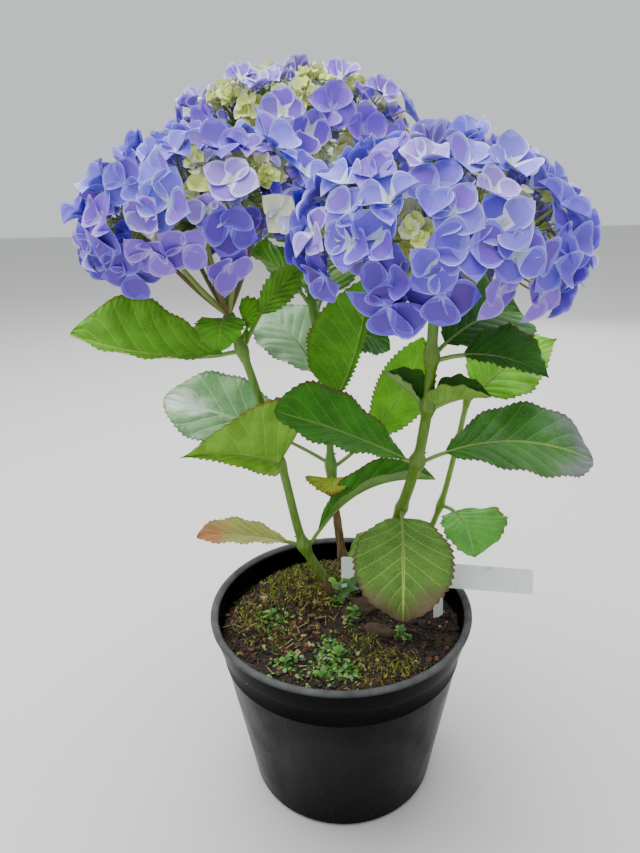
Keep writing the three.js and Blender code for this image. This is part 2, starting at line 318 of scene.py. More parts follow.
@dataclass(frozen=True)
class StemFinish:
    """Green stem with pale streaks and small rusty marks, woody brown towards its foot."""

    name: str
    green: Rgb
    light: Rgb
    brown: Rgb = (92, 66, 42)
    bark: Rgb = (132, 104, 70)
    woody_to: float = 150.0
    woody_fade: float = 30.0
    streak: Triple = (1.0, 1.0, 0.12)
    mark: Triple = (1.0, 1.0, 0.45)

    @cache
    def material(self) -> bpy.types.Material:
        """Makes the material."""
        paint = Paint(self.name, self.green, 0.48)
        streaks = paint.cloud(2.2, 4.0, paint.stretched(self.streak))
        height = paint.part(paint.place(), 2)
        marks = paint.step(paint.cloud(1.5, 1.0, paint.stretched(self.mark)), 0.68, 0.74)
        fade = height + (paint.cloud(7.0, 3.0) - 0.5) * (self.woody_fade * MM)
        woody = paint.step(fade, (self.woody_to + self.woody_fade) * MM, self.woody_to * MM)
        light = paint.step(streaks, 0.4, 0.75) * 0.5
        color = paint.mix(light, self.green, self.light)
        color = paint.mix(marks * 0.45, color, self.brown)
        bark = paint.mix(paint.step(streaks, 0.4, 0.6), self.brown, self.bark)
        paint.set("Base Color", paint.mix(woody, color, bark))
        paint.set("Roughness", woody * 0.35 + 0.42)
        paint.bump(streaks + marks * 0.5 + woody * paint.cloud(1.2, 4.0), 0.5, 0.7)
        return paint.material


@dataclass(frozen=True)
class LeafFinish:
    """A leaf's green, its veins, the rust on its edge and a tint towards its point, which on most leaves is
    their own blush and on the silvery and dusky leaves is a painted sheen.
    """

    name: str
    blade: Rgb
    vein: Rgb
    under: Rgb
    edge: Rgb = (104, 74, 30)
    edge_share: float = 0.6
    tint_and_sheen: Rgb = (150, 116, 84)
    tint_and_sheen_from: float = 2.0
    shine: float = 0.46
    tint_and_sheen_out: float = 0.12
    tint_and_sheen_along: float = 1.0
    veins: float = 7.5
    mirror: float = 0.26

    @cache
    def material(self, below: bool = False) -> bpy.types.Material:
        """Makes the material of one side.

        Args:
            below: Whether it is the underside, which is paler, with raised veins.

        Returns:
            The material.
        """
        base = self.under if below else self.blade
        paint = Paint(self.name + ("_below" if below else "_above"), base, self.shine)
        spot = paint.node("ShaderNodeUVMap", {"uv_map": BLADE_MAP})
        across = paint.part(spot, 0)
        along = paint.part(spot, 1)
        out = paint.math("ABSOLUTE", across * 2.0 - 1.0)
        sweep = (along - out * VEIN_SLANT + out * out * VEIN_BOW) * self.veins
        wave = paint.math("ABSOLUTE", paint.math("FRACT", sweep) * 2.0 - 1.0)
        veins = paint.step(wave, 0.87, 0.99) * (1.0 - out * 0.5)
        midrib = paint.step(out, 0.05, 0.015)
        net = paint.step(paint.cells(2.2), 0.1, 0.0)
        mottle = paint.cloud(14.0, 4.0)
        fresh = tuple(min(255, round(part * 1.08 + 4)) for part in base)
        deep = tuple(round(part * 0.92) for part in base)
        color = paint.mix(paint.step(mottle, 0.35, 0.68), deep, fresh)
        color = paint.mix(net * 0.2 + veins * 0.6, color, self.vein)
        # This tint is the leaf's own blush on most leaves, and a painted sheen, a painted reflection of the
        # sky, on the silvery and dusky leaves.
        tint_and_sheen_at = along * self.tint_and_sheen_along + out * self.tint_and_sheen_out + (mottle - 0.5) * 0.5
        tint_and_sheen = paint.step(tint_and_sheen_at, self.tint_and_sheen_from, self.tint_and_sheen_from + 0.3)
        color = paint.mix(tint_and_sheen * 0.85, color, self.tint_and_sheen)
        rust = paint.step(out + (mottle - 0.5) * 0.1, 0.9, 0.99) * self.edge_share
        color = paint.mix(rust, color, self.edge)
        paint.set("Base Color", paint.mix(midrib * 0.85, color, self.vein))
        paint.set("Specular IOR Level", self.mirror)
        paint.set("Roughness", mottle * 0.16 + (self.shine - 0.08) + veins * 0.08)
        pillow = 1.0 - wave * wave
        relief = veins * 0.8 + net * 0.25 if below else pillow * 0.8 - net * 0.2 - midrib * 0.6
        paint.bump(relief, 0.9, 0.75)
        return paint.material


@dataclass(frozen=True)
class LabelFinish:
    """White plastic with a little dirt on it."""

    white: Rgb = (246, 255, 252)
    dirt: Rgb = (150, 132, 108)

    @cache
    def material(self) -> bpy.types.Material:
        """Makes the material."""
        paint = Paint("white_plastic", self.white, 0.4)
        smear = paint.step(paint.cloud(13.0, 5.0), 0.56, 0.76)
        specks = paint.step(paint.cloud(1.4, 2.0), 0.68, 0.74)
        dirt = paint.math("MINIMUM", smear * 0.4 + specks * 0.6, 1.0)
        paint.set("Base Color", paint.mix(dirt, self.white, self.dirt))
        paint.set("Roughness", smear * 0.25 + 0.36)
        paint.bump(paint.cloud(3.0, 3.0), 0.1, 0.4)
        return paint.material


@dataclass(frozen=True)
class FloorFinish:
    """A plain pale floor."""

    pale: Rgb = (208, 208, 205)

    @cache
    def material(self) -> bpy.types.Material:
        """Makes the material."""
        paint = Paint("pale_floor", self.pale, 0.8)
        paint.bump(paint.cloud(2.0, 3.0), 0.2, 0.2)
        return paint.material


class Shape:
    """A mesh in the making, in millimetres, with slots for its finishes."""

    def __init__(self, name: str, materials: list[bpy.types.Material], mapped: bool = False) -> None:
        """Starts an empty mesh.

        Args:
            name: The piece's name.
            materials: One for each slot.
            mapped: Whether its sheets leave their shares and their own room in maps.
        """
        self.name = name
        self.materials = materials
        self.mapped = mapped
        self.mesh = bmesh.new()
        if mapped:
            self.bake = self.mesh.loops.layers.uv.new(BAKE_MAP)
            self.blade = self.mesh.loops.layers.uv.new(BLADE_MAP)

    def sheet(self, columns: int, rows: int, place: Callable[[float, float], Vector],
              slot: int | Callable[[float, float], int] = 0, flip: bool = False,
              patch: Patch = WHOLE) -> None:
        """Adds a grid and moves each of its points to its place.

        Args:
            columns: Faces across.
            rows: Faces along.
            place: Gives a point's place from its shares across and along the grid.
            slot: The material slot, or a function of a face's middle that gives it.
            flip: Whether the faces are turned over.
            patch: The low and high corners of the sheet's room in the bake map.
        """
        made = bmesh.ops.create_grid(self.mesh, x_segments=columns, y_segments=rows, size=0.5)
        shares = {vert: (vert.co.x + 0.5, vert.co.y + 0.5) for vert in made["verts"]}
        faces = faces_of(made)
        for face in sorted(faces, key=lambda face: face.index):
            middle = face.calc_center_median()
            face.material_index = slot(middle.x + 0.5, middle.y + 0.5) if callable(slot) else slot
            face.smooth = True
            for loop in face.loops if self.mapped else ():
                across, along = shares[loop.vert]
                loop[self.blade].uv = (across, along)
                loop[self.bake].uv = (lerp(patch[0], patch[2], across), lerp(patch[1], patch[3], along))
        for vert, (across, along) in shares.items():
            vert.co = place(across, along)
        if flip:
            bmesh.ops.reverse_faces(self.mesh, faces=list(faces))

    def tube(self, middle: Callable[[float], Vector], radius: Callable[[float, float], float],
             sides: int, rows: int, slot: int = 0, patch: Patch = WHOLE) -> None:
        """Adds a round limb along a run, closed to a point or a small ring at its ends.

        Args:
            middle: Gives the run's middle from the share along it.
            radius: Gives the radius from the shares along and around it.
            sides: Faces around.
            rows: Faces along.
            slot: The material slot.
            patch: The tube's room in the bake map.
        """
        def place(across: float, along: float) -> Vector:
            """Returns a point of the limb's skin."""
            step = 0.5 / rows
            ahead = middle(min(1.0, along + step)) - middle(max(0.0, along - step))
            level = Vector((0.0, 1.0, 0.0)) if abs(ahead.normalized().z) > 0.2 else UP
            side = ahead.cross(level).normalized()
            other = ahead.cross(side).normalized()
            turn = across * math.tau
            reach = radius(along, across)
            return middle(along) + side * (math.cos(turn) * reach) + other * (math.sin(turn) * reach)

        self.sheet(sides, rows, place, slot, True, patch)

    def small(self, kind: str, matrix: Matrix, slot: int, **sizes: float) -> None:
        """Adds a small primitive of a few faces.

        Args:
            kind: The name of the create operator, without its first word.
            matrix: Its place.
            slot: The material slot.
            **sizes: The operator's own sizes.
        """
        made = getattr(bmesh.ops, "create_" + kind)(self.mesh, matrix=matrix, **sizes)
        for face in faces_of(made):
            face.material_index = slot

    def finish(self, slot: str, nodes: Iterable[str] = (), merge: float = 1e-3,
               sharp: float = 50.0) -> None:
        """Turns the mesh into a piece that rides on the part.

        Args:
            slot: The record's material slot. It is not used.
            nodes: The solids that the piece stands for.
            merge: Points nearer than this are joined.
            sharp: Edges over this angle in degrees stay sharp.
        """
        if merge:
            bmesh.ops.remove_doubles(self.mesh, verts=self.mesh.verts, dist=merge)
        bmesh.ops.scale(self.mesh, vec=(MM, MM, MM), verts=self.mesh.verts)
        data = bpy.data.meshes.new(self.name)
        self.mesh.to_mesh(data)
        self.mesh.free()
        for material in self.materials:
            data.materials.append(material)
        data.set_sharp_from_angle(angle=math.radians(sharp))
        piece = linked(self.name, data)
        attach(piece, BODY)
        if nodes:
            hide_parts(*nodes)
        log.info("%s: %d faces", self.name, len(data.polygons))


class Run:
    """A smooth run through points, read by the share of its length."""

    FINE = 60
    NEAR = 1e-4

    def __init__(self, points: Iterable[Triple]) -> None:
        """Works out the run with centripetal knots.

        Args:
            points: The points that it passes.
        """
        knots = [Vector(point) for point in points]
        knots = [knots[0] * 2 - knots[1], *knots, knots[-1] * 2 - knots[-2]]
        self.spots = [knots[1]]
        for before, start, end, after in zip(knots, knots[1:], knots[2:], knots[3:]):
            self.spots += [self.between(before, start, end, after, step / self.FINE)
                           for step in range(1, self.FINE + 1)]
        self.lengths = [0.0]
        for one, other in zip(self.spots, self.spots[1:]):
            self.lengths.append(self.lengths[-1] + (other - one).length)

    @staticmethod
    def between(before: Vector, start: Vector, end: Vector, after: Vector, share: float) -> Vector:
        """Returns the point a share of the way from start to end."""
        gaps = [math.sqrt((two - one).length) for one, two in ((before, start), (start, end), (end, after))]
        leave = (start - before) / gaps[0] - (end - before) / (gaps[0] + gaps[1]) + (end - start) / gaps[1]
        reach = (end - start) / gaps[1] - (after - start) / (gaps[1] + gaps[2]) + (after - end) / gaps[2]
        leave, reach = leave * gaps[1], reach * gaps[1]
        cubic = start * 2 - end * 2 + leave + reach
        square = end * 3 - start * 3 - leave * 2 - reach
        return start + leave * share + square * share ** 2 + cubic * share ** 3

    def at(self, share: float) -> Vector:
        """Returns the point at a share of the run's length."""
        want = share * self.lengths[-1]
        high = min(max(1, bisect.bisect_left(self.lengths, want)), len(self.lengths) - 1)
        low = high - 1
        part = (want - self.lengths[low]) / (self.lengths[high] - self.lengths[low])
        return self.spots[low].lerp(self.spots[high], part)

    def level(self, height: float) -> float:
        """Returns the share of the run's length at which it reaches a height."""
        low, high = 0.0, 1.0
        while high - low > self.NEAR:
            middle = (low + high) / 2
            low, high = (middle, high) if self.at(middle).z < height else (low, middle)
        return low


@dataclass
class Stem:
    """One stem: its run, its radii, its finish, and the heights of its leaf joints."""

    name: str
    path: list[Triple]
    foot: float
    stem: float
    tip: float
    finish: StemFinish
    joints: list[float] = field(default_factory=list)
    sides: int = 20
    rows: int = 130
    flare_ends: float = 12.0
    swell: float = 1.2
    swell_length: float = 5.0
    bury: float = 6.0

    RIBS = 6
    RIB = 0.018
    ROUGH = 0.06
    KNOB = 0.22
    KNOB_SCALE = 1.4
    SCAR = 0.28
    SCAR_LENGTH = 0.9
    SCAR_BELOW = 1.1
    BURIED_SHARE = 0.06
    BUD_ABOVE = 4
    BUD_TURN = 1.9
    BUD_RISE = 0.55
    BUD_OUT = 0.9
    BUD = {"segments": 6, "radius1": 1.5, "radius2": 0.2, "depth": 4.2, "cap_ends": True}
    CAP = {"segments": 10, "radius2": 0.3, "depth": 6.4, "cap_ends": True}
    CAP_SWELL = 1.02
    CAP_OUT = 3

    def __post_init__(self) -> None:
        """Works out the stem's run."""
        self.run = Run(self.path)

    def radius(self, share: float) -> float:
        """Returns the radius of the plain taper at a share of the length."""
        flare = (self.foot - self.stem) * math.exp(-share * self.flare_ends)
        return lerp(self.stem, self.tip, share) + flare

    def at(self, height: float) -> tuple[Vector, float]:
        """Returns the stem's middle and its radius at a height."""
        share = self.run.level(height)
        return self.run.at(share), self.radius(share)

    def skin(self, share: float, around: float) -> float:
        """Returns the radius with joints, ribs and scars."""
        spot = self.run.at(share)
        reach = self.radius(share)
        for joint in self.joints:
            away = (spot.z - joint) / self.swell_length
            reach += self.swell * math.exp(-away * away)
            scar = (spot.z - joint + self.swell_length * self.SCAR_BELOW) / self.SCAR_LENGTH
            reach += self.SCAR * math.exp(-scar * scar)
        turn = around * math.tau
        rib = self.RIB * math.cos(turn * self.RIBS + spot.z * 0.01)
        rough = noise.noise(Vector((around * 6, spot.z * 0.09, len(self.name)))) * self.ROUGH
        knobs = noise.noise(Vector((math.cos(turn) * self.KNOB_SCALE, math.sin(turn) * self.KNOB_SCALE,
                                    spot.z * 0.14)))
        wood = 1 - smooth(spot.z, self.finish.woody_to, self.finish.woody_to + self.finish.woody_fade)
        return reach * (1 + rib + rough + wood * knobs * self.KNOB)

    def middle(self, share: float) -> Vector:
        """Returns the middle of the skin, which starts a little below the compost."""
        spot = self.run.at(share)
        spot.z -= self.bury * (1 - smooth(share, 0.0, self.BURIED_SHARE))
        return spot

    def build(self) -> None:
        """Builds the stem with a cone on its tip and a bud above each joint."""
        shape = Shape(f"bark_{self.name}", [self.finish.material()], True)
        shape.tube(self.middle, self.skin, self.sides, self.rows)
        top = self.run.at(1.0)
        ahead = (top - self.run.at(0.97)).normalized()
        shape.small("cone", aimed(top + ahead * self.CAP_OUT, ahead), 0,
                    radius1=self.tip * self.CAP_SWELL, **self.CAP)
        for index, joint in enumerate(self.joints):
            spot, reach = self.at(joint + self.BUD_ABOVE)
            out = polar(index * self.BUD_TURN, 1.0, self.BUD_RISE).normalized()
            shape.small("cone", aimed(spot + out * (reach + self.BUD_OUT), out), 0, **self.BUD)
        shape.finish("green_stem", [f"stem_{self.name}"])


@dataclass
class Leaf:
    """One leaf: where it grows, where its point reaches, and how it bends, folds and turns.

    The fold is the share of its width that the near half keeps. The turn is how far round the stem
    the leaf is seated, in degrees.
    """

    stem: str
    name: str
    at: float
    tip: Triple
    wide: float
    arch: float
    roll: float
    cup: float
    stalk: float
    fullness: float
    point: float
    finish: LeafFinish
    seed: int = 0
    fold: float = 1.0
    turn: float = 0.0

    SEAT = 0.64
    DRAWN = 0.45
    COLUMNS = 14
    TOOTH_ROWS = 4
    TOOTH = 4.0
    TOOTH_HEIGHT = 1.9
    THICK = 0.5
    RIB = 1.5
    RIB_END = 0.32
    RIB_DEPTH = 0.75
    WAVE = 1.5
    WAVES = 23
    WAVE_SHIFT = 2.1
    FULL_WAVE = 50
    QUILT = -0.32
    KEEL = -0.5
    INSIDE = 0.08
    MIDRIB_END = 0.97
    ABOVE = (0.01, 0.01, 0.46, 0.99)
    BELOW = (0.48, 0.01, 0.93, 0.99)
    ASIDE = (0.95, 0.01, 0.99, 0.99)
    STALK = PlainFinish("leaf_stalk", (120, 150, 66), 0.5)

    def lay_out(self, stem: Stem) -> None:
        """Works out the leaf's bow from its stem to its point."""
        spot, reach = stem.at(self.at)
        tip = Vector(self.tip)
        outward = (tip - spot) * Vector((1, 1, 0))
        outward = Matrix.Rotation(math.radians(self.turn), 3, "Z") @ outward.normalized()
        self.root = spot + outward * (reach + CLEAR + self.SEAT)
        self.inside = spot
        chord = tip - self.root
        self.length = chord.length
        self.share = self.stalk / self.length
        chord.normalize()
        rise = (UP - chord * chord.z).normalized()
        side = chord.cross(rise)
        turn = -math.copysign(math.radians(self.roll), side.y)
        self.near = -math.copysign(1.0, side.y)
        self.side = Matrix.Rotation(turn, 3, chord) @ side
        self.top = self.root.lerp(tip, 0.5) + rise * (self.arch * 2)
        self.end = tip
        peak = self.fullness / (self.fullness + self.point)
        self.widest = peak ** self.fullness * (1 - peak) ** self.point

    def bow(self, share: float) -> Vector:
        """Returns the leaf's middle line at a share of its length."""
        rest = 1 - share
        return self.root * rest * rest + self.top * (2 * rest * share) + self.end * share * share

    def frame(self, share: float) -> tuple[Vector, Vector]:
        """Returns the directions across the blade and out of its face."""
        ahead = ((self.top - self.root) * (1 - share) + (self.end - self.top) * share).normalized()
        flat = (self.side - ahead * self.side.dot(ahead)).normalized()
        return flat, flat.cross(ahead)

    def outline(self, share: float) -> float:
        """Returns half the blade's width at a share of the blade."""
        share = min(1.0, max(0.0, share))
        drawn = 1 - self.DRAWN * math.exp(-(1 - share) * 13)
        return self.wide / 2 * drawn * share ** self.fullness * (1 - share) ** self.point / self.widest

    def blade(self, rows: int, above: float) -> Callable[[float, float], Vector]:
        """Gives the places of one side of the blade.

        Args:
            rows: Rows along the blade.
            above: 1 for the upper side and -1 for the underside.

        Returns:
            A function of the shares across and along.
        """
        bend = math.radians(self.cup)

        def place(across: float, along: float) -> Vector:
            """Returns a point of the blade."""
            out = across * 2 - 1
            row = round(along * rows)
            half = self.outline(along)
            edge = abs(out) ** 5
            tooth = (row % self.TOOTH_ROWS) / (self.TOOTH_ROWS - 1) * self.TOOTH_HEIGHT
            tooth *= smooth(half, 1.5, 9.0)
            half *= self.fold if out * self.near > 0 else 1.0
            reach = abs(out) * half + edge * tooth
            share = lerp(self.share, 1.0, along)
            flat, face = self.frame(share)
            shift = self.WAVE_SHIFT if out > 0 else 0.0
            ripple = math.sin(along * self.WAVES + self.seed + shift) * self.WAVE * abs(out) ** 2.4
            ripple *= smooth(half, 2.0, 12.0) * min(1.0, self.wide / self.FULL_WAVE)
            sweep = (along - abs(out) * VEIN_SLANT + out * out * VEIN_BOW) * self.finish.veins
            quilt = math.cos(sweep * math.tau) * self.QUILT * (1 - edge) * min(1.0, abs(out) * 4)
            keel = self.KEEL * (1 - min(1.0, abs(out) * 5)) * smooth(half, 0.0, 8.0)
            lift = abs(out) * half * math.sin(bend) * (0.7 + 0.3 * abs(out)) + ripple + quilt + keel
            lift += above * self.THICK / 2 * (1 - edge)
            return self.bow(share) + flat * (math.copysign(reach, out) * math.cos(bend)) + face * lift

        return place

    def build(self, stem: Stem) -> None:
        """Builds the blade's two sides, its midrib and its stalk.

        Args:
            stem: The stem that carries it.
        """
        self.lay_out(stem)
        teeth = max(8, round(self.length * (1 - self.share) / self.TOOTH))
        rows = teeth * self.TOOTH_ROWS + 1
        materials = [self.finish.material(), self.finish.material(True), self.STALK.material()]
        shape = Shape(f"toothed_leaf_{self.stem}_{self.name}", materials, True)
        shape.sheet(self.COLUMNS, rows, self.blade(rows, 1), 0, False, self.ABOVE)
        shape.sheet(self.COLUMNS, rows, self.blade(rows, -1), 1, True, self.BELOW)

        def middle(share: float) -> Vector:
            """Returns the middle of the stalk, which runs on as the midrib below the blade."""
            if share < self.INSIDE:
                return self.inside.lerp(self.root, share / self.INSIDE)
            along = (share - self.INSIDE) / (1 - self.INSIDE) * self.MIDRIB_END
            deep = self.RIB_DEPTH * smooth(along, self.share * 0.6, self.share * 1.6)
            return self.bow(along) - self.frame(along)[1] * deep

        def radius(share: float, around: float) -> float:
            """Returns the radius of the stalk and midrib."""
            taper = lerp(self.RIB, self.RIB_END, smooth(share, self.share * 0.5, 1.0))
            return taper * (1 + 0.5 * math.exp(-share * 26)) * (0.15 if share > 0.999 else 1.0)

        shape.tube(middle, radius, 8, 40, 2, self.ASIDE)
        shape.finish("leaf", [f"leaf_{self.stem}_{self.name}"], sharp=70)


class Tone(Enum):
    """The plain colours of petals and flower stalks, dealt out by floret."""

    BLUE = PlainFinish("petal_blue", (104, 84, 216))
    INDIGO = PlainFinish("petal_indigo", (106, 68, 198))
    VIOLET = PlainFinish("petal_violet", (92, 60, 184))
    DEEP = PlainFinish("petal_deep", (82, 44, 156))
    SKY = PlainFinish("petal_sky", (146, 144, 242))
    AZURE = PlainFinish("petal_azure", (124, 118, 232))
    PLUM = PlainFinish("petal_plum", (108, 66, 200))
    PURPLE = PlainFinish("petal_purple", (136, 94, 222))
    MAUVE = PlainFinish("petal_mauve", (154, 126, 224))
    LILAC = PlainFinish("petal_lilac", (182, 172, 246))
    PALE = PlainFinish("petal_pale", (214, 218, 252))
    RIM = PlainFinish("petal_rim", (172, 176, 248))
    WHITE = PlainFinish("petal_white", (240, 244, 252))
    MINT = PlainFinish("petal_mint", (184, 206, 196))
    CREAM = PlainFinish("petal_cream", (240, 246, 196))
    LIME = PlainFinish("petal_lime", (224, 236, 136))
    STALK = PlainFinish("flower_stalk", (134, 152, 74))
    DUSK = PlainFinish("flower_stalk_dusk", (112, 96, 58))

    @property
    def slot(self) -> int:
        """Returns the tone's slot in a head's list of materials."""
        return list(Tone).index(self)


@dataclass(frozen=True)
class CoatTones:
    """The tones of one kind of floret, and how many rows of faces its throat takes."""

    petal: Tone
    heart: Tone
    edge: Tone
    rim: Tone
    throat: Tone
    eye: int = 1


class Coat(Enum):
    """The kinds of floret."""

    BLUE = CoatTones(Tone.BLUE, Tone.INDIGO, Tone.AZURE, Tone.RIM, Tone.SKY)
    BRIGHT = CoatTones(Tone.AZURE, Tone.PURPLE, Tone.SKY, Tone.PALE, Tone.PALE)
    SKY = CoatTones(Tone.AZURE, Tone.BLUE, Tone.SKY, Tone.PALE, Tone.MINT, 2)
    DEEP = CoatTones(Tone.VIOLET, Tone.DEEP, Tone.BLUE, Tone.SKY, Tone.SKY)
    PURPLE = CoatTones(Tone.PURPLE, Tone.PLUM, Tone.MAUVE, Tone.LILAC, Tone.LILAC)
    MAUVE = CoatTones(Tone.MAUVE, Tone.PURPLE, Tone.LILAC, Tone.PALE, Tone.MINT, 2)
    EYED = CoatTones(Tone.BLUE, Tone.INDIGO, Tone.AZURE, Tone.RIM, Tone.MINT, 2)
    PALE = CoatTones(Tone.LILAC, Tone.MAUVE, Tone.PALE, Tone.WHITE, Tone.CREAM, 2)
    CREAM = CoatTones(Tone.CREAM, Tone.PALE, Tone.CREAM, Tone.WHITE, Tone.LIME, 2)
    LIME = CoatTones(Tone.LIME, Tone.LIME, Tone.LIME, Tone.CREAM, Tone.LIME)
    FROST = CoatTones(Tone.PURPLE, Tone.MAUVE, Tone.LILAC, Tone.WHITE, Tone.CREAM, 2)


@dataclass(frozen=True)
class Bloom:
    """One floret of a head."""

    middle: Vector
    out: Vector
    spin: float
    across: float
    closed: float
    coat: CoatTones
    seed: float


@dataclass(frozen=True)
class Named:
    """A floret that the front view shows well, by its turn and level on the dome in degrees."""

    turn: float
    level: float
    across: float
    spin: float
    closed: float
    coat: Coat


@dataclass
class Head:
    """One flower head: rays from the stem's tip, and the florets that make its dome.

    The lit coats are those of the florets on its top, and the furl closes the dome's florets further.
    """

    stem: str
    middle: Triple
    half: Triple
    lean: tuple[float, float]
    florets: int
    across: float
    seed: int
    coats: dict[Coat, int]
    named: list[Named]
    young: list[tuple[float, float]]
    lit: tuple[Coat, ...] = (Coat.SKY, Coat.BRIGHT, Coat.MAUVE, Coat.FROST)
    furl: float = 0.0
    rays: int = 7
    lowest: float = 114.0
    reach: float = 0.93
    depth: float = 0.14
    room: float = 0.27

    ROWS = (0.0, 0.1, 0.22, 0.36, 0.5, 0.64, 0.78, 0.9, 0.97, 1.0)
    COLUMNS = (-1.0, -0.94, -0.78, 0.0, 0.78, 0.94, 1.0)
    ACROSS = len(COLUMNS) - 1
    ALONG = len(ROWS) - 1
    HEART_COLUMNS = (2, 3)
    HEART_ROWS = range(2, 6)
    RIM_ROW = 8
    PETALS = 4
    FULLNESS = 0.9
    POINT = 1.1
    BREADTH = 0.5
    WILD = {"turn": (-0.14, 0.14), "length": (0.9, 1.08), "wide": (0.9, 1.12), "rise": (0.0, 0.2),
            "bend": (-0.4, 0.06), "cup": (-0.26, 0.36), "twist": (-0.22, 0.22), "ripple": (0.2, 0.7),
            "crease": (0.0, 0.4)}
    RIPPLES = 7
    LAYER = 0.5
    SEEDS = 9
    NAMED_TILT = 0.15
    NAMED_CLOSED = (0.0, 0.2)
    BUDS = 8
    BUD_SPREAD = 5
    BUD_DEPTHS = (0.05, 0.16)
    BUD_SIZES = (9, 15)
    BUD_CLOSED = (0.6, 1.3)
    BUD_COATS = (Coat.LIME, Coat.LIME, Coat.CREAM)
    SIZES = (0.78, 1.14)
    TILT = 0.34
    CLOSED = (0.15, 0.3, 0.5, 0.7)
    LIT_LEVELS = (0.25, 0.8)
    LIT_CLOSED = 0.5
    LIT_SHARE = 0.65
    SINK = 0.16
    INNER_DEPTHS = (0.64, 0.76)
    INNER_SIZES = (0.5, 0.72)
    INNER_CLOSED = 0.6
    INNER_COATS = (Coat.CREAM, Coat.LIME, Coat.PALE, Coat.MAUVE, Coat.DEEP)
    CUP = {"segments": 5, "radius1": 1.3, "radius2": 0.5, "depth": 1.8, "cap_ends": True}
    CUP_OUT = 0.9
    RAY = (1.9, 1.2)
    RAY_TONES = (Tone.STALK, Tone.DUSK)
    RAY_TOP = 0.25
    RAY_REACH = 0.5
    RAY_LEVELS = (-0.06, -0.06 + 0.2)
    RAY_KNEE = 0.35
    RAY_RISE = 0.3
    STALK = (0.5, 0.8)
    STALK_KNEE = 0.4
    STALK_BOW = 5

    def __post_init__(self) -> None:
        """Works out the frame of the dome."""
        self.centre = Vector(self.middle)
        self.turned = Euler((math.radians(self.lean[1]), math.radians(self.lean[0]), 0)).to_matrix()
        self.chance = random.Random(self.seed)

    def spot(self, ray: Vector, reach: float) -> tuple[Vector, Vector]:
        """Returns a point of the dome and the way out of it.

        Args:
            ray: The direction on a unit ball.
            reach: How far out of the dome the point is, as a share.
        """
        size = Vector(self.half)
        place = self.centre + self.turned @ (ray * size * reach)
        out = (self.turned @ Vector([part / length for part, length in zip(ray, size)])).normalized()
        return place, out

    @staticmethod
    def ray(turn: float, level: float) -> Vector:
        """Returns the direction at a turn from the front and a level, in degrees."""
        turn, level = math.radians(turn), math.radians(level)
        flat = math.cos(level)
        return Vector((math.sin(turn) * flat, -math.cos(turn) * flat, math.sin(level)))

    def spread(self, count: int, start: float, end: float, shift: float) -> list[Vector]:
        """Returns directions that wind down the dome by the golden angle.

        Args:
            count: How many.
            start: The height of the first, as a share of the unit ball.
            end: The height of the last.
            shift: The first one's turn.
        """
        rays = []
        for index in range(count):
            level = lerp(start, end, (index + 0.5) / count)
            rays.append(polar(index * GOLDEN_TURN + shift, math.sqrt(1 - level * level), level))
        return rays

    def any_turn(self) -> float:
        """Returns any turn, in radians."""
        return self.chance.random() * math.tau

    def bloom(self, place: Vector, out: Vector, spin: float, across: float, closed: float,
              coat: Coat) -> Bloom:
        """Returns a floret with a seed of its own."""
        return Bloom(place, out, spin, across, closed, coat.value, self.chance.random() * self.SEEDS)

    def tilted(self, out: Vector, spread: float) -> Vector:
        """Returns a direction near another one."""
        return (out + Vector([self.chance.gauss(0, spread) for _ in range(3)])).normalized()

    def named_blooms(self) -> list[Bloom]:
        """Lists the florets that are placed one by one."""
        made = []
        for item in self.named:
            place, out = self.spot(self.ray(item.turn, item.level), self.reach)
            made.append(self.bloom(place, self.tilted(out, self.NAMED_TILT), math.radians(item.spin),
                                   item.across, item.closed + self.chance.uniform(*self.NAMED_CLOSED),
                                   item.coat))
        return made

    def young_blooms(self) -> list[Bloom]:
        """Lists the small closed florets of the young groups."""
        chance = self.chance
        made = []
        for turn, level in self.young:
            for _ in range(self.BUDS):
                ray = self.ray(turn + chance.gauss(0, self.BUD_SPREAD),
                               level + chance.gauss(0, self.BUD_SPREAD))
                place, out = self.spot(ray, self.reach - chance.uniform(*self.BUD_DEPTHS))
                made.append(self.bloom(place, out, self.any_turn(), chance.uniform(*self.BUD_SIZES),
                                       chance.uniform(*self.BUD_CLOSED), chance.choice(self.BUD_COATS)))
        return made

    def dome_blooms(self, lowest: float, placed: list[Bloom]) -> list[Bloom]:
        """Lists the dome's own florets, where those already placed leave room.

        Args:
            lowest: The height of the lowest ones on the unit ball.
            placed: The florets already placed.

        Returns:
            The florets.
        """
        chance = self.chance
        made = []
        coats, weights = zip(*self.coats.items())
        for ray in self.spread(self.florets, 1.0, lowest, 0.0):
            place, out = self.spot(ray, self.reach - self.depth * chance.random())
            across = self.across * chance.uniform(*self.SIZES)
            aim = self.tilted(out, self.TILT)
            light = smooth(ray.z, *self.LIT_LEVELS)
            closed = chance.choice(self.CLOSED) + self.LIT_CLOSED * light + self.furl
            kinds = (self.lit, None) if chance.random() < light * self.LIT_SHARE else (coats, weights)
            middle = place - out * (closed * across * self.SINK)
            bloom = self.bloom(middle, aim, self.any_turn(), across, closed, chance.choices(*kinds)[0])
            if all((other.middle - place).length > (other.across + across) * self.room for other in placed):
                made.append(bloom)
        return made

    def inner_blooms(self, lowest: float) -> list[Bloom]:
        """Lists the florets that lie deeper, between the others."""
        chance = self.chance
        made = []
        for ray in self.spread(self.florets // 2, 0.97, lowest * 0.6, 1.1):
            place, out = self.spot(ray, chance.uniform(*self.INNER_DEPTHS))
            spin = self.any_turn()
            across = self.across * chance.uniform(*self.INNER_SIZES)
            made.append(self.bloom(place, out, spin, across, self.INNER_CLOSED,
                                   chance.choice(self.INNER_COATS)))
        return made

    def blooms(self) -> list[Bloom]:
        """Lists all florets."""
        lowest = math.cos(math.radians(self.lowest))
        placed = self.named_blooms() + self.young_blooms()
        return placed + self.dome_blooms(lowest, placed) + self.inner_blooms(lowest)

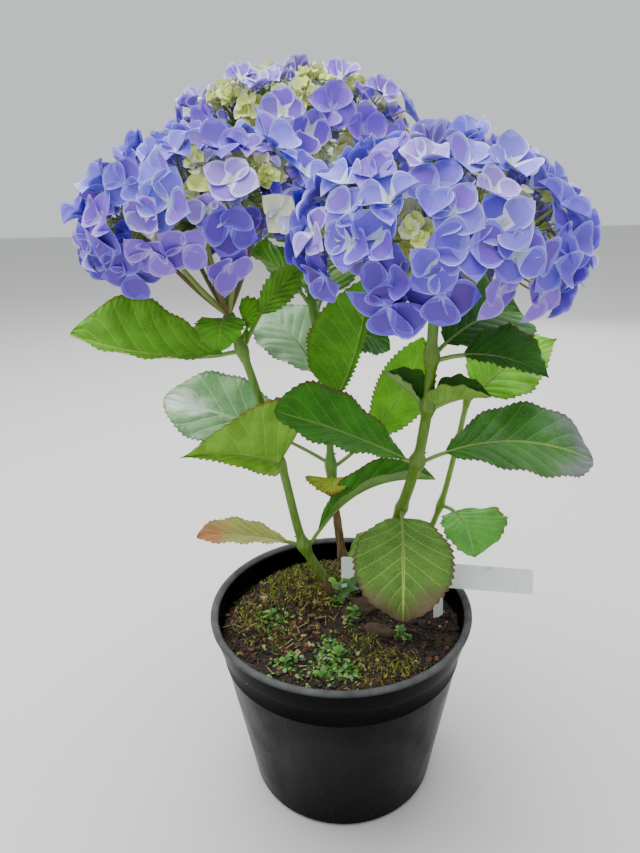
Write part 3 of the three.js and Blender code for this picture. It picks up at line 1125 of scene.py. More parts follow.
    def petal(self, bloom: Bloom, index: int) -> Callable[[float, float], Vector]:
        """Gives the places of one petal.

        Args:
            bloom: The floret.
            index: Which of its four petals.

        Returns:
            A function of the shares across and along.
        """
        wild = random.Random(bloom.seed * 31 + index)
        level = Vector((0.0, -1.0, 0.0)) if bloom.out.z > 0.92 else UP
        side = bloom.out.cross(level).normalized()
        up = side.cross(bloom.out)
        own = {name: wild.uniform(*span) for name, span in self.WILD.items()}
        turn = bloom.spin + index * math.pi / 2 + own["turn"]
        ahead = up * math.cos(turn) - side * math.sin(turn)
        flat = ahead.cross(bloom.out)
        length = bloom.across / 2 * own["length"]
        wide = length * self.BREADTH * own["wide"]
        rise = bloom.closed * 0.95 + own["rise"]
        bend = own["bend"] - bloom.closed * 0.2
        cup = own["cup"] + bloom.closed * 0.5
        layer = self.LAYER if index % 2 else 0.0
        peak = self.FULLNESS / (self.FULLNESS + self.POINT)
        most = peak ** self.FULLNESS * (1 - peak) ** self.POINT
        shrink = math.sqrt(max(0.25, 1 - (rise + bend) ** 2 * 0.8))

        def place(across: float, along: float) -> Vector:
            """Returns a point of the petal."""
            out = self.COLUMNS[round(across * self.ACROSS)]
            share = self.ROWS[round(along * self.ALONG)]
            half = wide * (share * 0.96 + 0.04) ** self.FULLNESS * (1 - share) ** self.POINT / most
            lift = length * (rise * share + bend * share * share) + out * out * half * cup
            ripple = own["ripple"] * math.sin(share * self.RIPPLES + bloom.seed) * abs(out)
            lift += out * half * own["twist"] + layer + ripple
            lift += abs(out) * half * own["crease"]
            return bloom.middle + ahead * (length * share * shrink) + flat * (out * half) + bloom.out * lift

        return place

    def paint(self, bloom: Bloom, index: int) -> Callable[[float, float], int]:
        """Deals the tones out over one petal, whose middle is of one of its coat's two main tones.

        Args:
            bloom: The floret.
            index: Which of its four petals.

        Returns:
            A function of a face's middle that gives its slot.
        """
        coat = bloom.coat
        petal = coat.petal if (index * 5 + int(bloom.seed * 7)) % 4 else coat.heart

        def slot(across: float, along: float) -> int:
            """Returns the slot of a face of the petal."""
            column, row = int(across * self.ACROSS), int(along * self.ALONG)
            if row == 0:
                return coat.throat.slot
            if column in (0, self.ACROSS - 1) or row >= self.RIM_ROW or row < coat.eye:
                return coat.rim.slot
            return (petal if column in self.HEART_COLUMNS and row in self.HEART_ROWS else coat.edge).slot

        return slot

    def ends(self) -> list[Vector]:
        """Lists the ends of the rays, at which the florets' stalks begin."""
        rays = [UP * self.RAY_TOP]
        for index in range(self.rays):
            turn = index / self.rays * math.tau + self.seed
            rays.append(polar(turn, self.RAY_REACH, self.RAY_LEVELS[index % 2]))
        return [self.spot(ray, 1.0)[0] for ray in rays]

    @staticmethod
    def grow(shape: Shape, points: Iterable[Vector], radii: tuple[float, float], sides: int, rows: int,
             slot: int) -> None:
        """Adds a stalk through points, with a radius at either end."""
        run = Run([tuple(point) for point in points])
        shape.tube(run.at, lambda share, _: lerp(*radii, share), sides, rows, slot)

    def build(self, stem: Stem) -> None:
        """Builds the petals, and the stalks that carry them.

        Args:
            stem: The stem that carries the head.
        """
        materials = [tone.value.material() for tone in Tone]
        petals = Shape(f"petals_{self.stem}", materials)
        stalks = Shape(f"flower_stalks_{self.stem}", materials)
        tip = stem.run.at(1.0)
        ends = self.ends()
        for index, end in enumerate(ends):
            knee = tip.lerp(end, self.RAY_KNEE)
            knee.z = lerp(tip.z, end.z, self.RAY_RISE)
            self.grow(stalks, (tip, knee, end), self.RAY, 7, 12, self.RAY_TONES[index % 2].slot)
        for bloom in self.blooms():
            for index in range(self.PETALS):
                petals.sheet(self.ACROSS, self.ALONG, self.petal(bloom, index), self.paint(bloom, index))
            petals.small("cone", aimed(bloom.middle + bloom.out * self.CUP_OUT, bloom.out),
                         bloom.coat.rim.slot, **self.CUP)
            end = min(ends, key=lambda spot: (spot - bloom.middle).length)
            knee = bloom.middle.lerp(end, self.STALK_KNEE) - bloom.out * self.STALK_BOW
            self.grow(stalks, (bloom.middle, knee, end), self.STALK, 5, 4, Tone.STALK.slot)
        petals.finish("flower", [f"flower_head_{self.stem}"], merge=1e-4, sharp=80)
        stalks.finish("flower", merge=1e-3)


@dataclass
class Pot:
    """The pot: a beaded rim, a collar, a thin tapering wall, and a floor with drain holes."""

    height: float = 142.0
    rim: float = 95.0
    bead: float = 2.2
    collar: float = 19.0
    collar_top: float = 91.4
    collar_low: float = 90.4
    step: float = 1.4
    ledge: float = 1.5
    ring: float = 33.0
    ring_half: float = 1.2
    ring_out: float = 0.5
    base: float = 69.0
    foot: float = 4.0
    wall: float = 1.8
    holes: int = 6
    hole: float = 5.0
    hole_ring: float = 56.0
    steps: int = 144

    @property
    def under(self) -> float:
        """Returns the height of the collar's underside."""
        return self.height - self.collar

    def wall_at(self, height: float) -> float:
        """Returns the radius of the outside between the foot and the collar."""
        return lerp(self.base, self.collar_low - self.step, (height - self.foot) / (self.under - self.foot))

    @staticmethod
    def arc(middle: tuple[float, float], radius: float, start: float, end: float,
            steps: int) -> list[tuple[float, float]]:
        """Returns points of an arc in the half section, from and to angles in degrees."""
        turns = [math.radians(lerp(start, end, step / steps)) for step in range(steps + 1)]
        x, y = middle
        return [(x + radius * math.cos(turn), y + radius * math.sin(turn)) for turn in turns]

    def section(self) -> list[tuple[float, float]]:
        """Returns the half section, from the axis below to the axis inside."""
        inner = self.base - self.wall
        ring = self.height - self.ring
        lower = self.wall_at(self.under)
        return [
            (0, 0), *self.arc((self.base - self.foot, self.foot), self.foot, -90, 0, 6),
            (self.wall_at(ring - self.ring_half), ring - self.ring_half),
            (self.wall_at(ring) + self.ring_out, ring - self.ring_out),
            (self.wall_at(ring) + self.ring_out, ring + self.ring_out),
            (self.wall_at(ring + self.ring_half), ring + self.ring_half),
            (lower, self.under), (self.collar_low - 0.4, self.under + 0.2),
            (self.collar_low, self.under + self.ledge),
            (self.collar_top, self.height - 2 * self.bead),
            *self.arc((self.rim - self.bead, self.height - self.bead), self.bead, -70, 130, 12),
            (self.collar_top - self.wall, self.height - self.bead),
            (self.collar_low - self.wall, self.under + self.ledge), (lower - self.wall, self.under),
            (inner, self.wall + self.foot / 2), (inner - self.foot, self.wall), (0, self.wall),
        ]

    def build(self) -> None:
        """Spins the section round and cuts the drain holes."""
        mesh = bmesh.new()
        points = [mesh.verts.new((radius, 0, height)) for radius, height in self.section()]
        edges = [mesh.edges.new(pair) for pair in zip(points, points[1:])]
        bmesh.ops.spin(mesh, geom=points + edges, axis=(0, 0, 1), cent=(0, 0, 0), dvec=(0, 0, 0),
                       angle=math.tau, steps=self.steps, use_merge=True)
        bmesh.ops.remove_doubles(mesh, verts=mesh.verts, dist=1e-3)
        bmesh.ops.recalc_face_normals(mesh, faces=mesh.faces)
        shell = self.loose("pot_shell", mesh)
        drills = bmesh.new()
        for index in range(self.holes):
            place = Matrix.Translation(polar(index / self.holes * math.tau, self.hole_ring))
            bmesh.ops.create_cone(drills, segments=24, radius1=self.hole, radius2=self.hole,
                                  depth=self.wall * 4, cap_ends=True, matrix=place)
        cutter = self.loose("pot_drills", drills)
        cut = shell.modifiers.new("drain_holes", "BOOLEAN")
        cut.operation = "DIFFERENCE"
        cut.solver = "EXACT"
        cut.object = cutter
        bpy.context.view_layer.update()
        done = bpy.data.meshes.new_from_object(shell.evaluated_get(bpy.context.evaluated_depsgraph_get()))
        shape = Shape("moulded_pot", [PotFinish().material()])
        shape.mesh.from_mesh(done)
        for face in shape.mesh.faces:
            face.smooth = True
            face.material_index = 0
        for spare in (shell, cutter):
            bpy.data.objects.remove(spare)
        shape.finish("pot_plastic", ["pot"], merge=0.0, sharp=38)

    @staticmethod
    def loose(name: str, mesh: bmesh.types.BMesh) -> bpy.types.Object:
        """Makes a helper object of a mesh."""
        data = bpy.data.meshes.new(name)
        mesh.to_mesh(data)
        mesh.free()
        return linked(name, data)


@dataclass(frozen=True)
class Mound:
    """A soft rise or hollow of the compost."""

    x: float
    y: float
    reach: float
    height: float


@dataclass
class Compost:
    """The compost, and the chips, moss, seedlings and old wood that lie and grow on it."""

    pot: Pot
    sink: float = 0.8
    columns: int = 220
    rows: int = 70
    raised: float = 1.6
    inset: float = 2.0
    edge: float = 9.0
    edge_drop: float = 1.5
    mounds_end: float = 14.0
    mounds: tuple[Mound, ...] = (
        Mound(-30, 48, 26, 9.0), Mound(-12, 34, 16, 7.0), Mound(-56, 14, 22, 4.0), Mound(12, 10, 13, 7.0),
        Mound(25, -16, 11, 5.0), Mound(-20, -46, 20, 3.6), Mound(34, -50, 16, 2.5), Mound(30, 44, 18, 6.0),
        Mound(64, -20, 26, -3.5), Mound(-66, -14, 16, 2.5), Mound(0, 66, 24, 5.0),
    )
    chips: int = 560
    crumbs: int = 1500
    moss: int = 4200
    tufts: int = 640
    seed: int = 21

    ROUGH = ((16, 0, 1.8), (5, 4, 1.3), (2, 9, 0.7))
    GREENS = ((106, 116, 30), (150, 158, 56), (72, 92, 24), (160, 142, 74), (106, 70, 38))
    FRESH = ((62, 116, 28), (102, 154, 46), (42, 88, 24), (124, 158, 104))
    BROWNS = ((44, 33, 30), (70, 50, 40), (118, 78, 48), (84, 48, 38), (168, 146, 100), (30, 24, 22))
    WOOD = (74, 58, 44)
    CHIP_BED = (-46, -6, 28)
    STRAW = 4
    FIBRE_EVERY = 9
    LEFT_ODDS = (6, 6, 1.6, 3, 1, 6)
    RIGHT_ODDS = (6, 3, 0.5, 1.2, 0.3, 10)
    CRUMB_ODDS = (6, 5, 1, 2, 0.6, 8)
    MOSS_ODDS = (4, 4, 3, 2, 1.4)
    MOSS_BEDS = (
        ((-34, 50), 15, 8), ((-16, 30), 11, 7), ((-6, 36), 8, 4), ((-50, 34), 13, 3), ((0, 62), 18, 5),
        ((22, 52), 13, 2), ((-66, 6), 10, 4), ((-58, -14), 11, 2.5), ((-42, -6), 12, 2), ((38, -50), 10, 4),
        ((14, -26), 9, 1.5), ((10, -52), 12, 2),
    )
    TUFT_BEDS = (
        ((-36, -50), 6), ((-8, -48), 8), ((-16, -60), 8), ((-6, -34), 6), ((4, -56), 5), ((9, 1), 3),
        ((44, -16), 2.5), ((-52, -2), 6), ((-2, 20), 3),
    )
    SEEDLINGS = (
        (9, 1, 5.0, 5, 2), (43, -16, 4.5, 5, 2), (2, 18, 12.0, 4, 9), (8, 20, 10.0, 4, 14),
        (-3, 21, 9.0, 3, 12), (-2, -41, 5.0, 6, 2), (-38, -48, 4.5, 5, 1), (-14, -62, 5.0, 5, 1),
        (-52, 0, 4.5, 5, 2),
    )
    LUMPS = ((16, 12, 17, 9, 0.5), (27, -14, 12, 6, -0.4), (26, 32, 13, 8, 1.1), (4, 38, 9, 7, 0.2))

    def __post_init__(self) -> None:
        """Starts the row of chances."""
        self.chance = random.Random(self.seed)

    @property
    def reach(self) -> float:
        """Returns the radius of the compost's top."""
        return self.pot.collar_low - self.pot.wall - self.sink

    def height(self, x: float, y: float) -> float:
        """Returns the height of the compost at a place."""
        away = math.hypot(x, y)
        rise = sum(mound.height * math.exp(-((x - mound.x) ** 2 + (y - mound.y) ** 2) / mound.reach ** 2)
                   for mound in self.mounds)
        rise *= 1 - smooth(away, self.reach - self.mounds_end, self.reach)
        rough = sum(noise.noise(Vector((x, y, level)) / size) * depth for size, level, depth in self.ROUGH)
        drop = self.edge_drop * smooth(away, self.reach - self.edge, self.reach)
        return COMPOST_TOP + self.raised + rise + rough - drop

    def scatter(self, x: float, y: float, spread: float) -> Vector:
        """Returns a place on the compost near a point."""
        while True:
            place = Vector((self.chance.gauss(x, spread), self.chance.gauss(y, spread), 0))
            if place.length < self.reach - self.inset:
                place.z = self.height(place.x, place.y)
                return place

    def anywhere(self) -> Vector:
        """Returns any place on the compost."""
        turn = self.chance.random() * math.tau
        away = math.sqrt(self.chance.random()) * (self.reach - self.inset)
        x, y = math.cos(turn) * away, math.sin(turn) * away
        return Vector((x, y, self.height(x, y)))

    def turn(self, lean: float) -> Matrix:
        """Returns a turn about the upright with a lean of up to so many radians."""
        chance = self.chance
        angles = (chance.uniform(-lean, lean), chance.uniform(-lean, lean), chance.random() * math.tau)
        return Euler(angles).to_matrix().to_4x4()

    def build(self) -> None:
        """Builds the compost and all that is on it."""
        self.build_body()
        self.build_litter()
        self.build_moss()
        self.build_seedlings()
        self.build_wood()

    def build_body(self) -> None:
        """Builds the compost down to the pot's floor."""
        shape = Shape("crumbly_compost", [CompostFinish().material()])
        bottom = self.pot.wall + CLEAR

        def top(across: float, along: float) -> Vector:
            """Returns a point of the top."""
            turn = across * math.tau
            away = along * self.reach
            x, y = math.cos(turn) * away, math.sin(turn) * away
            return Vector((x, y, self.height(x, y)))

        def side(across: float, along: float) -> Vector:
            """Returns a point of the side and the bottom."""
            turn = across * math.tau
            edge = top(across, 1.0)
            high = self.pot.wall_at(self.pot.under) - self.pot.wall - self.sink
            low = self.pot.wall_at(bottom + self.pot.foot) - self.pot.wall - self.sink
            ledge = min(edge.z - 0.1, self.pot.under + self.pot.ledge + 0.2)
            away, height = ((self.reach, edge.z), (self.reach, ledge), (high, self.pot.under - 0.5),
                            (low, bottom), (0.0, bottom))[round(along * 4)]
            return polar(turn, away, height)

        shape.sheet(self.columns, self.rows, top)
        shape.sheet(self.columns, 4, side)
        bmesh.ops.remove_doubles(shape.mesh, verts=shape.mesh.verts, dist=0.01)
        bmesh.ops.recalc_face_normals(shape.mesh, faces=shape.mesh.faces)
        shape.finish("compost", ["soil"])

    def build_litter(self) -> None:
        """Strews bark chips, fibres and crumbs."""
        chance = self.chance
        shape = Shape("bark_chips", plains("litter", self.BROWNS, 0.85))
        for index in range(self.chips):
            place = self.anywhere() if index % 3 else self.scatter(*self.CHIP_BED)
            size = chance.uniform(2.5, 8), chance.uniform(1, 3.2), chance.uniform(0.5, 1.6)
            fibre = index % self.FIBRE_EVERY == 0
            if fibre:
                size = chance.uniform(7, 15), 0.5, 0.5
            matrix = Matrix.Translation(place + UP * 0.6) @ self.turn(0.5) @ Matrix.Diagonal((*size, 1))
            odds = self.LEFT_ODDS if place.x < 10 else self.RIGHT_ODDS
            slot = self.STRAW if fibre and place.x < 20 else chance.choices(range(6), odds)[0]
            shape.small("cube", matrix, slot, size=1)
        for _ in range(self.crumbs):
            place = self.anywhere()
            matrix = Matrix.Translation(place) @ self.turn(3) @ Matrix.Scale(chance.uniform(0.7, 2.1), 4)
            shape.small("icosphere", matrix, chance.choices(range(6), self.CRUMB_ODDS)[0],
                        subdivisions=1, radius=1)
        shape.finish("compost", merge=0.0, sharp=30)

    def build_moss(self) -> None:
        """Grows moss on the mound and in tufts at the front."""
        chance = self.chance
        shape = Shape("moss", plains("moss", self.GREENS + self.FRESH, 0.8))
        for _ in range(self.moss):
            spot, spread, _ = chance.choices(self.MOSS_BEDS, [bed[2] for bed in self.MOSS_BEDS])[0]
            place = self.scatter(*spot, spread)
            tall = chance.uniform(1.6, 4.6)
            matrix = Matrix.Translation(place + UP * tall * 0.4) @ self.turn(0.9)
            shape.small("cone", matrix, chance.choices(range(5), self.MOSS_ODDS)[0], segments=3,
                        radius1=chance.uniform(0.4, 0.8), radius2=0.05, depth=tall, cap_ends=False)
        for _ in range(self.tufts):
            spot, spread = chance.choice(self.TUFT_BEDS)
            place = self.scatter(*spot, spread)
            size = chance.uniform(0.9, 2.4)
            matrix = Matrix.Translation(place + UP * chance.uniform(0.8, 3)) @ self.turn(0.7)
            matrix = matrix @ Matrix.Diagonal((size, size * 0.7, 1, 1))
            shape.small("cone", matrix, len(self.GREENS) + chance.randrange(len(self.FRESH)), segments=6,
                        radius1=1, radius2=0.1, depth=0.5, cap_ends=True)
        shape.finish("leaf", merge=0.0, sharp=60)

    def build_seedlings(self) -> None:
        """Grows a few small seedlings of two to six leaves."""
        shape = Shape("seedlings", plains("seedling", self.FRESH, 0.5))
        for x, y, size, leaves, stem in self.SEEDLINGS:
            foot = Vector((x, y, self.height(x, y) + stem))
            for index in range(leaves):
                ahead = polar(index * GOLDEN_TURN, 1.0)
                flat = Vector((-ahead.y, ahead.x, 0))
                lift = self.chance.uniform(2.0, 4.5)

                def place(across: float, along: float) -> Vector:
                    """Returns a point of the small leaf."""
                    half = size * 0.36 * math.sin(math.pi * min(1.0, along * 0.96 + 0.02)) ** 0.8
                    rise = lift * math.sin(along * 2.2) + 0.6
                    return foot + ahead * (size * along) + flat * ((across * 2 - 1) * half) + UP * rise

                shape.sheet(2, 4, place, index % 3)
        shape.finish("leaf", merge=0.0, sharp=80)

    def build_wood(self) -> None:
        """Builds the old woody lumps between the stems."""
        shape = Shape("old_wood", [PlainFinish("old_wood", self.WOOD, 0.9).material()])
        for x, y, long, wide, turn in self.LUMPS:
            matrix = Matrix.Translation((x, y, self.height(x, y) - 1)) @ Matrix.Rotation(turn, 4, "Z")
            made = bmesh.ops.create_icosphere(shape.mesh, subdivisions=4, radius=1,
                                              matrix=matrix @ Matrix.Diagonal((long, wide, wide * 0.62, 1)))
            for vert in made["verts"]:
                rough = noise.fractal(vert.co / 4, 1.0, 2.0, 4) * 1.6
                vert.co += (vert.co - Vector((x, y, COMPOST_TOP))).normalized() * rough
            for face in faces_of(made):
                face.smooth = True
        shape.finish("compost", merge=0.0, sharp=70)


@dataclass
class Label:
    """A blank label on its own stake."""

    name: str
    node: str
    x: float
    y: float
    low: float
    length: float
    width: float
    slope: float
    stake: float
    lean: float
    thick: float = 1.0
    round: float = 1.4
    buried: float = 4.0
    notch: float = 3.0

    def build(self) -> None:
        """Builds the outline, rounds its corners, and gives it its thickness."""
        drop = (GROUND - self.low - self.buried) / math.cos(math.radians(self.lean))
        fall = math.tan(math.radians(self.slope))
        outline = ((0, drop), (self.stake * 0.5, drop - self.notch), (self.stake, drop),
                   (self.stake, fall * self.stake), (self.length, fall * self.length),
                   (self.length, fall * self.length + self.width), (0, self.width))
        shape = Shape(self.name, [LabelFinish().material()])
        points = [shape.mesh.verts.new((x, y, 0)) for x, y in outline]
        shape.mesh.faces.new(points)
        bmesh.ops.bevel(shape.mesh, geom=points[4:], offset=self.round, segments=4, profile=0.5,
                        affect="VERTICES", material=-1)
        grown = bmesh.ops.extrude_face_region(shape.mesh, geom=list(shape.mesh.faces))
        top = [item for item in grown["geom"] if isinstance(item, bmesh.types.BMVert)]
        bmesh.ops.translate(shape.mesh, vec=(0, 0, self.thick), verts=top)
        bmesh.ops.recalc_face_normals(shape.mesh, faces=shape.mesh.faces)
        place = Matrix.Translation((self.x, self.y, self.low))
        place = place @ Matrix.Rotation(math.radians(90 - self.lean), 4, "X")
        bmesh.ops.transform(shape.mesh, matrix=place, verts=shape.mesh.verts)
        shape.finish("label_plastic", [self.node])


class Greens(Enum):
    """The finishes of the leaves."""

    SPRING = LeafFinish("spring_green", (104, 176, 30), (172, 208, 92), (134, 186, 72))
    FRESH = LeafFinish("fresh_green", (90, 158, 26), (166, 202, 84), (128, 178, 62))
    LIT = LeafFinish("lit_green", (100, 180, 20), (164, 212, 72), (122, 184, 44), shine=0.5)
    UPRIGHT = LeafFinish("upright_green", (74, 146, 12), (144, 188, 64), (92, 148, 40))
    DEEP = LeafFinish("deep_green", (50, 126, 14), (126, 166, 70), (112, 160, 62), (96, 50, 30), 0.8,
                      (110, 78, 44), 1.02)
    DARK = LeafFinish("dark_green", (34, 96, 10), (88, 136, 44), (112, 156, 56), shine=0.5)
    # The silvery leaf's pale blade and its near-white tint are painted glare, the sky's reflection on its
    # top.
    SILVER = LeafFinish("painted_glare_green", (100, 160, 90), (196, 220, 180), (120, 166, 106),
                        (84, 72, 60), 0.8, (232, 238, 232), 0.5, 0.3, -0.5, mirror=0.5)
    # The pale leaf's whitish green is a painted sheen, the sky's reflection on its quilted top.
    PALE = LeafFinish("painted_sheen_green", (150, 194, 146), (204, 226, 190), (128, 168, 108), shine=0.3,
                      mirror=0.45)
    BLUSHED = LeafFinish("blushed_green", (124, 182, 50), (176, 206, 96), (132, 176, 70),
                         (134, 76, 46), 0.8, (164, 140, 96), 0.72, 0.5, 0.9, -0.5)
    BUFF = LeafFinish("buff_green", (158, 164, 78), (192, 180, 118), (142, 146, 84), (134, 78, 52), 0.7,
                      (172, 100, 64), 0.5, 0.46, -0.12)
    BRONZE = LeafFinish("bronze_green", (146, 160, 34), (168, 172, 78), (122, 130, 56), (104, 48, 28), 0.9,
                        (128, 64, 30), 0.72, 0.5)
    # The dusky leaf's blue-grey tint towards its point is a painted sheen, the sky's reflection on it.
    DUSKY = LeafFinish("dusky_green", (38, 108, 8), (122, 164, 64), (96, 138, 70), (84, 66, 60), 0.8,
                       (112, 112, 120), 0.7, 0.45)
    HANGING = LeafFinish("hanging_green", (80, 126, 42), (180, 200, 98), (112, 150, 70), (92, 62, 48), 0.8,
                         (112, 84, 72), 0.74, 0.42, 0.2)
    MEADOW = LeafFinish("meadow_green", (96, 174, 64), (160, 206, 120), (110, 160, 82))


class Plant:
    """The whole plant: its stems, leaves and heads."""

    @staticmethod
    def stems() -> dict[str, Stem]:
        """Lists the stems by name."""
        olive = StemFinish("stem_olive", (88, 128, 36), (136, 168, 76), woody_to=133, woody_fade=30)
        leafy = StemFinish("stem_leafy", (82, 130, 34), (124, 164, 62), woody_to=186, woody_fade=34)
        strong = StemFinish("stem_strong", (80, 116, 18), (116, 150, 40), woody_to=136, woody_fade=26)
        light = StemFinish("stem_light", (112, 152, 44), (150, 184, 76), woody_to=130, woody_fade=20)
        stems = [
            Stem("left", [(-2, 30, GROUND), (-13, 26, 146), (-27, 23, 176), (-41, 17, 246), (-62, 9, 329),
                          (-69, 5, 354)], 5.2, 3.6, 2.6, olive),
            Stem("back", [(8, 45, GROUND), (2, 46, 155), (-6, 51, 229), (-7, 61, 288), (-19, 72, 360),
                          (-22, 77, 408)], 5.0, 3.0, 2.5, leafy),
            Stem("right", [(31, 38, GROUND), (37, 26, 175), (46, 14, 215), (54, 2, 255), (57, -14, 300),
                           (56, -32, 356)], 5.6, 4.1, 3.2, strong),
            Stem("slim", [(48, 48, GROUND), (66, 44, 165), (77, 40, 200), (85, 34, 247), (91, 27, 294)],
                 3.2, 2.4, 1.8, light),
        ]
        return {stem.name: stem for stem in stems}

    @staticmethod
    def leaves() -> list[Leaf]:
        """Lists the leaves, and the folds and turns of those that have them."""
        rows = [
            ("left", "long", 329, (-168, -6, 346), 74, -8, 25, 37, 8, 0.95, 0.55, "SPRING"),
            ("left", "bract", 352, (-72, -20, 336), 30, 8, 0, 8, 3, 0.5, 0.6, "UPRIGHT"),
            ("left", "small", 347, (-54, 9, 346), 32, 4, 50, 6, 3, 0.6, 0.7, "LIT"),
            ("left", "rising", 333, (-22, 38, 380), 22, 5, 70, 30, 22, 0.7, 0.75, "FRESH"),
            ("left", "folded", 246, (-102, -30, 270), 100, 5, 66, 40, 1, 0.42, 1.6, "BLUSHED"),
            ("left", "low", 177, (-103, 4, 194), 32, 5, 6, 14, 8, 0.8, 0.5, "BUFF"),
            ("left", "arching", 175, (73, 44, 219), 34, 21, 6, 54, 10, 1.0, 0.6, "DEEP"),
            ("back", "silvery", 232, (-132, 62, 281), 72, 6, 28, 10, 30, 0.85, 0.6, "SILVER"),
            ("back", "translucent", 228, (63, 66, 324), 40, -12, 70, 10, 34, 0.8, 0.7, "LIT"),
            ("back", "pale", 290, (-57, 112, 336), 54, 6, 24, 10, 10, 0.8, 0.6, "PALE"),
            ("back", "upright", 277, (22, 42, 372), 70, -6, 105, 16, 5, 0.62, 0.75, "UPRIGHT"),
            ("back", "small", 330, (40, 76, 312), 36, 6, 40, 8, 12, 0.7, 0.7, "DARK"),
            ("back", "bronze", 221, (-6, 28, 213), 38, 2, 0, 8, 2, 0.15, 0.9, "BRONZE"),
            ("back", "foot", 152, (26, 28, 169), 24, 6, 30, 8, 5, 0.6, 0.7, "UPRIGHT"),
            ("back", "upper", 350, (-62, 52, 390), 44, 5, 30, 12, 8, 0.7, 0.7, "LIT"),
            ("back", "collar", 386, (-66, 96, 402), 34, 6, 20, 10, 8, 0.7, 0.7, "FRESH"),
            ("back", "tuft", 386, (8, 52, 432), 24, 4, 20, 10, 10, 0.7, 0.7, "BRONZE"),
            ("back", "rear", 340, (10, 150, 370), 58, 12, 0, 12, 10, 0.75, 0.65, "FRESH"),
            ("back", "far", 366, (58, 118, 398), 46, 8, 10, 12, 10, 0.75, 0.65, "UPRIGHT"),
            ("right", "left", 252, (-41, -14, 295), 60, 3, 30, 16, 3, 1.0, 0.46, "DEEP"),
            ("right", "right", 252, (170, -2, 254), 70, 14, 22, 8, 14, 0.85, 0.48, "DUSKY"),
            ("right", "bud_left", 297, (30, 12, 312), 30, 2, 5, 54, 1, 0.4, 0.9, "DARK"),
            ("right", "bud_right", 297, (92, -34, 309), 32, 3, 5, 54, 1, 0.4, 0.9, "DARK"),
            ("right", "upper", 330, (121, -46, 324), 46, 8, 30, 10, 14, 0.85, 1.0, "DARK"),
            ("right", "rear", 334, (122, 28, 348), 62, 8, 40, 18, 8, 0.8, 0.6, "DARK"),
            ("right", "hanging", 210, (42, -38, 151), 66, 16, 0, 8, 6, 0.62, 0.7, "HANGING"),
            ("slim", "far", 288, (155, 48, 325), 56, 5, 30, 8, 8, 0.6, 1.2, "LIT"),
            ("slim", "drooping", 200, (95, -5, 181), 62, 12, 0, 8, 14, 0.65, 0.75, "MEADOW"),
        ]
        halves = {("left", "folded"): (0.3, 48.0), ("back", "upright"): (0.1,), ("right", "upper"): (0.34,),
                  ("slim", "drooping"): (0.6,), ("right", "left"): (0.72,)}
        return [Leaf(*row[:-1], Greens[row[-1]].value, seed, *halves.get(row[:2], ()))
                for seed, row in enumerate(rows)]

    @staticmethod
    def heads() -> list[Head]:
        """Lists the flower heads, with the florets that the front view shows well."""
        blues = {Coat.BLUE: 6, Coat.SKY: 3, Coat.DEEP: 4, Coat.EYED: 3, Coat.PURPLE: 1, Coat.BRIGHT: 3,
                 Coat.MAUVE: 1}
        violets = {Coat.PURPLE: 5, Coat.MAUVE: 4, Coat.BLUE: 3, Coat.DEEP: 2, Coat.FROST: 2, Coat.EYED: 1,
                   Coat.BRIGHT: 2}
        pales = {Coat.FROST: 8, Coat.PALE: 3, Coat.CREAM: 4, Coat.LIME: 2, Coat.MAUVE: 2, Coat.PURPLE: 2}
        right = [
            (2, 11, 37, 0, 0.05, Coat.BLUE), (-9, 0, 28, 45, 0.35, Coat.EYED),
            (-24, -7, 30, 8, 0.2, Coat.DEEP), (-26, -25, 44, 0, 0.0, Coat.DEEP),
            (-5, -14, 37, 4, 0.0, Coat.DEEP), (15, -12, 30, 20, 0.1, Coat.PURPLE),
            (20, 7, 30, 40, 0.4, Coat.EYED), (-29, 12, 30, 45, 0.4, Coat.EYED),
            (-40, 7, 29, 10, 0.4, Coat.EYED), (-29, 29, 33, 60, 0.35, Coat.SKY),
            (-11, 39, 35, 20, 0.15, Coat.BLUE), (-4, 27, 29, 30, 0.3, Coat.BRIGHT),
            (15, 23, 33, 60, 0.3, Coat.SKY), (-43, 41, 26, 20, 0.5, Coat.PURPLE),
            (-56, -15, 36, 0, 0.0, Coat.DEEP), (-63, 6, 30, 20, 0.2, Coat.MAUVE),
            (37, 3, 31, 30, 0.15, Coat.BLUE), (46, 31, 30, 45, 0.2, Coat.BLUE),
            (13, 38, 27, 0, 0.5, Coat.MAUVE), (31, 55, 33, 10, 0.3, Coat.SKY),
            (-24, 55, 28, 30, 0.3, Coat.MAUVE), (4, 55, 30, 30, 0.2, Coat.BRIGHT),
            (-59, 35, 30, 20, 0.2, Coat.SKY), (35, -15, 30, 30, 0.1, Coat.PURPLE),
            (46, 14, 28, 0, 0.3, Coat.BLUE), (-46, 22, 27, 40, 0.4, Coat.BRIGHT),
        ]
        left = [
            (-14, -12, 33, 45, 0.15, Coat.PURPLE), (0, -14, 31, 40, 0.2, Coat.PURPLE),
            (17, -35, 34, 10, 0.1, Coat.PURPLE), (-32, -7, 36, 20, 0.1, Coat.DEEP),
            (-36, 14, 34, 30, 0.15, Coat.PURPLE), (0, 13, 38, 20, 0.2, Coat.BRIGHT),
            (-11, 10, 25, 40, 0.6, Coat.FROST), (31, 43, 38, 10, 0.3, Coat.DEEP),
            (67, 38, 42, 0, 0.3, Coat.BRIGHT), (71, 12, 36, 40, 0.3, Coat.SKY),
            (27, 17, 32, 30, 0.3, Coat.MAUVE), (-2, 33, 33, 0, 0.3, Coat.BRIGHT),
            (43, -8, 26, 45, 0.5, Coat.CREAM), (14, 5, 26, 10, 0.5, Coat.MAUVE),
            (21, -10, 32, 20, 0.3, Coat.DEEP), (-31, -23, 36, 0, 0.0, Coat.DEEP),
            (-23, 34, 27, 30, 0.3, Coat.BLUE), (6, 48, 27, 20, 0.3, Coat.BRIGHT),
            (47, 36, 28, 20, 0.3, Coat.PURPLE),
        ]
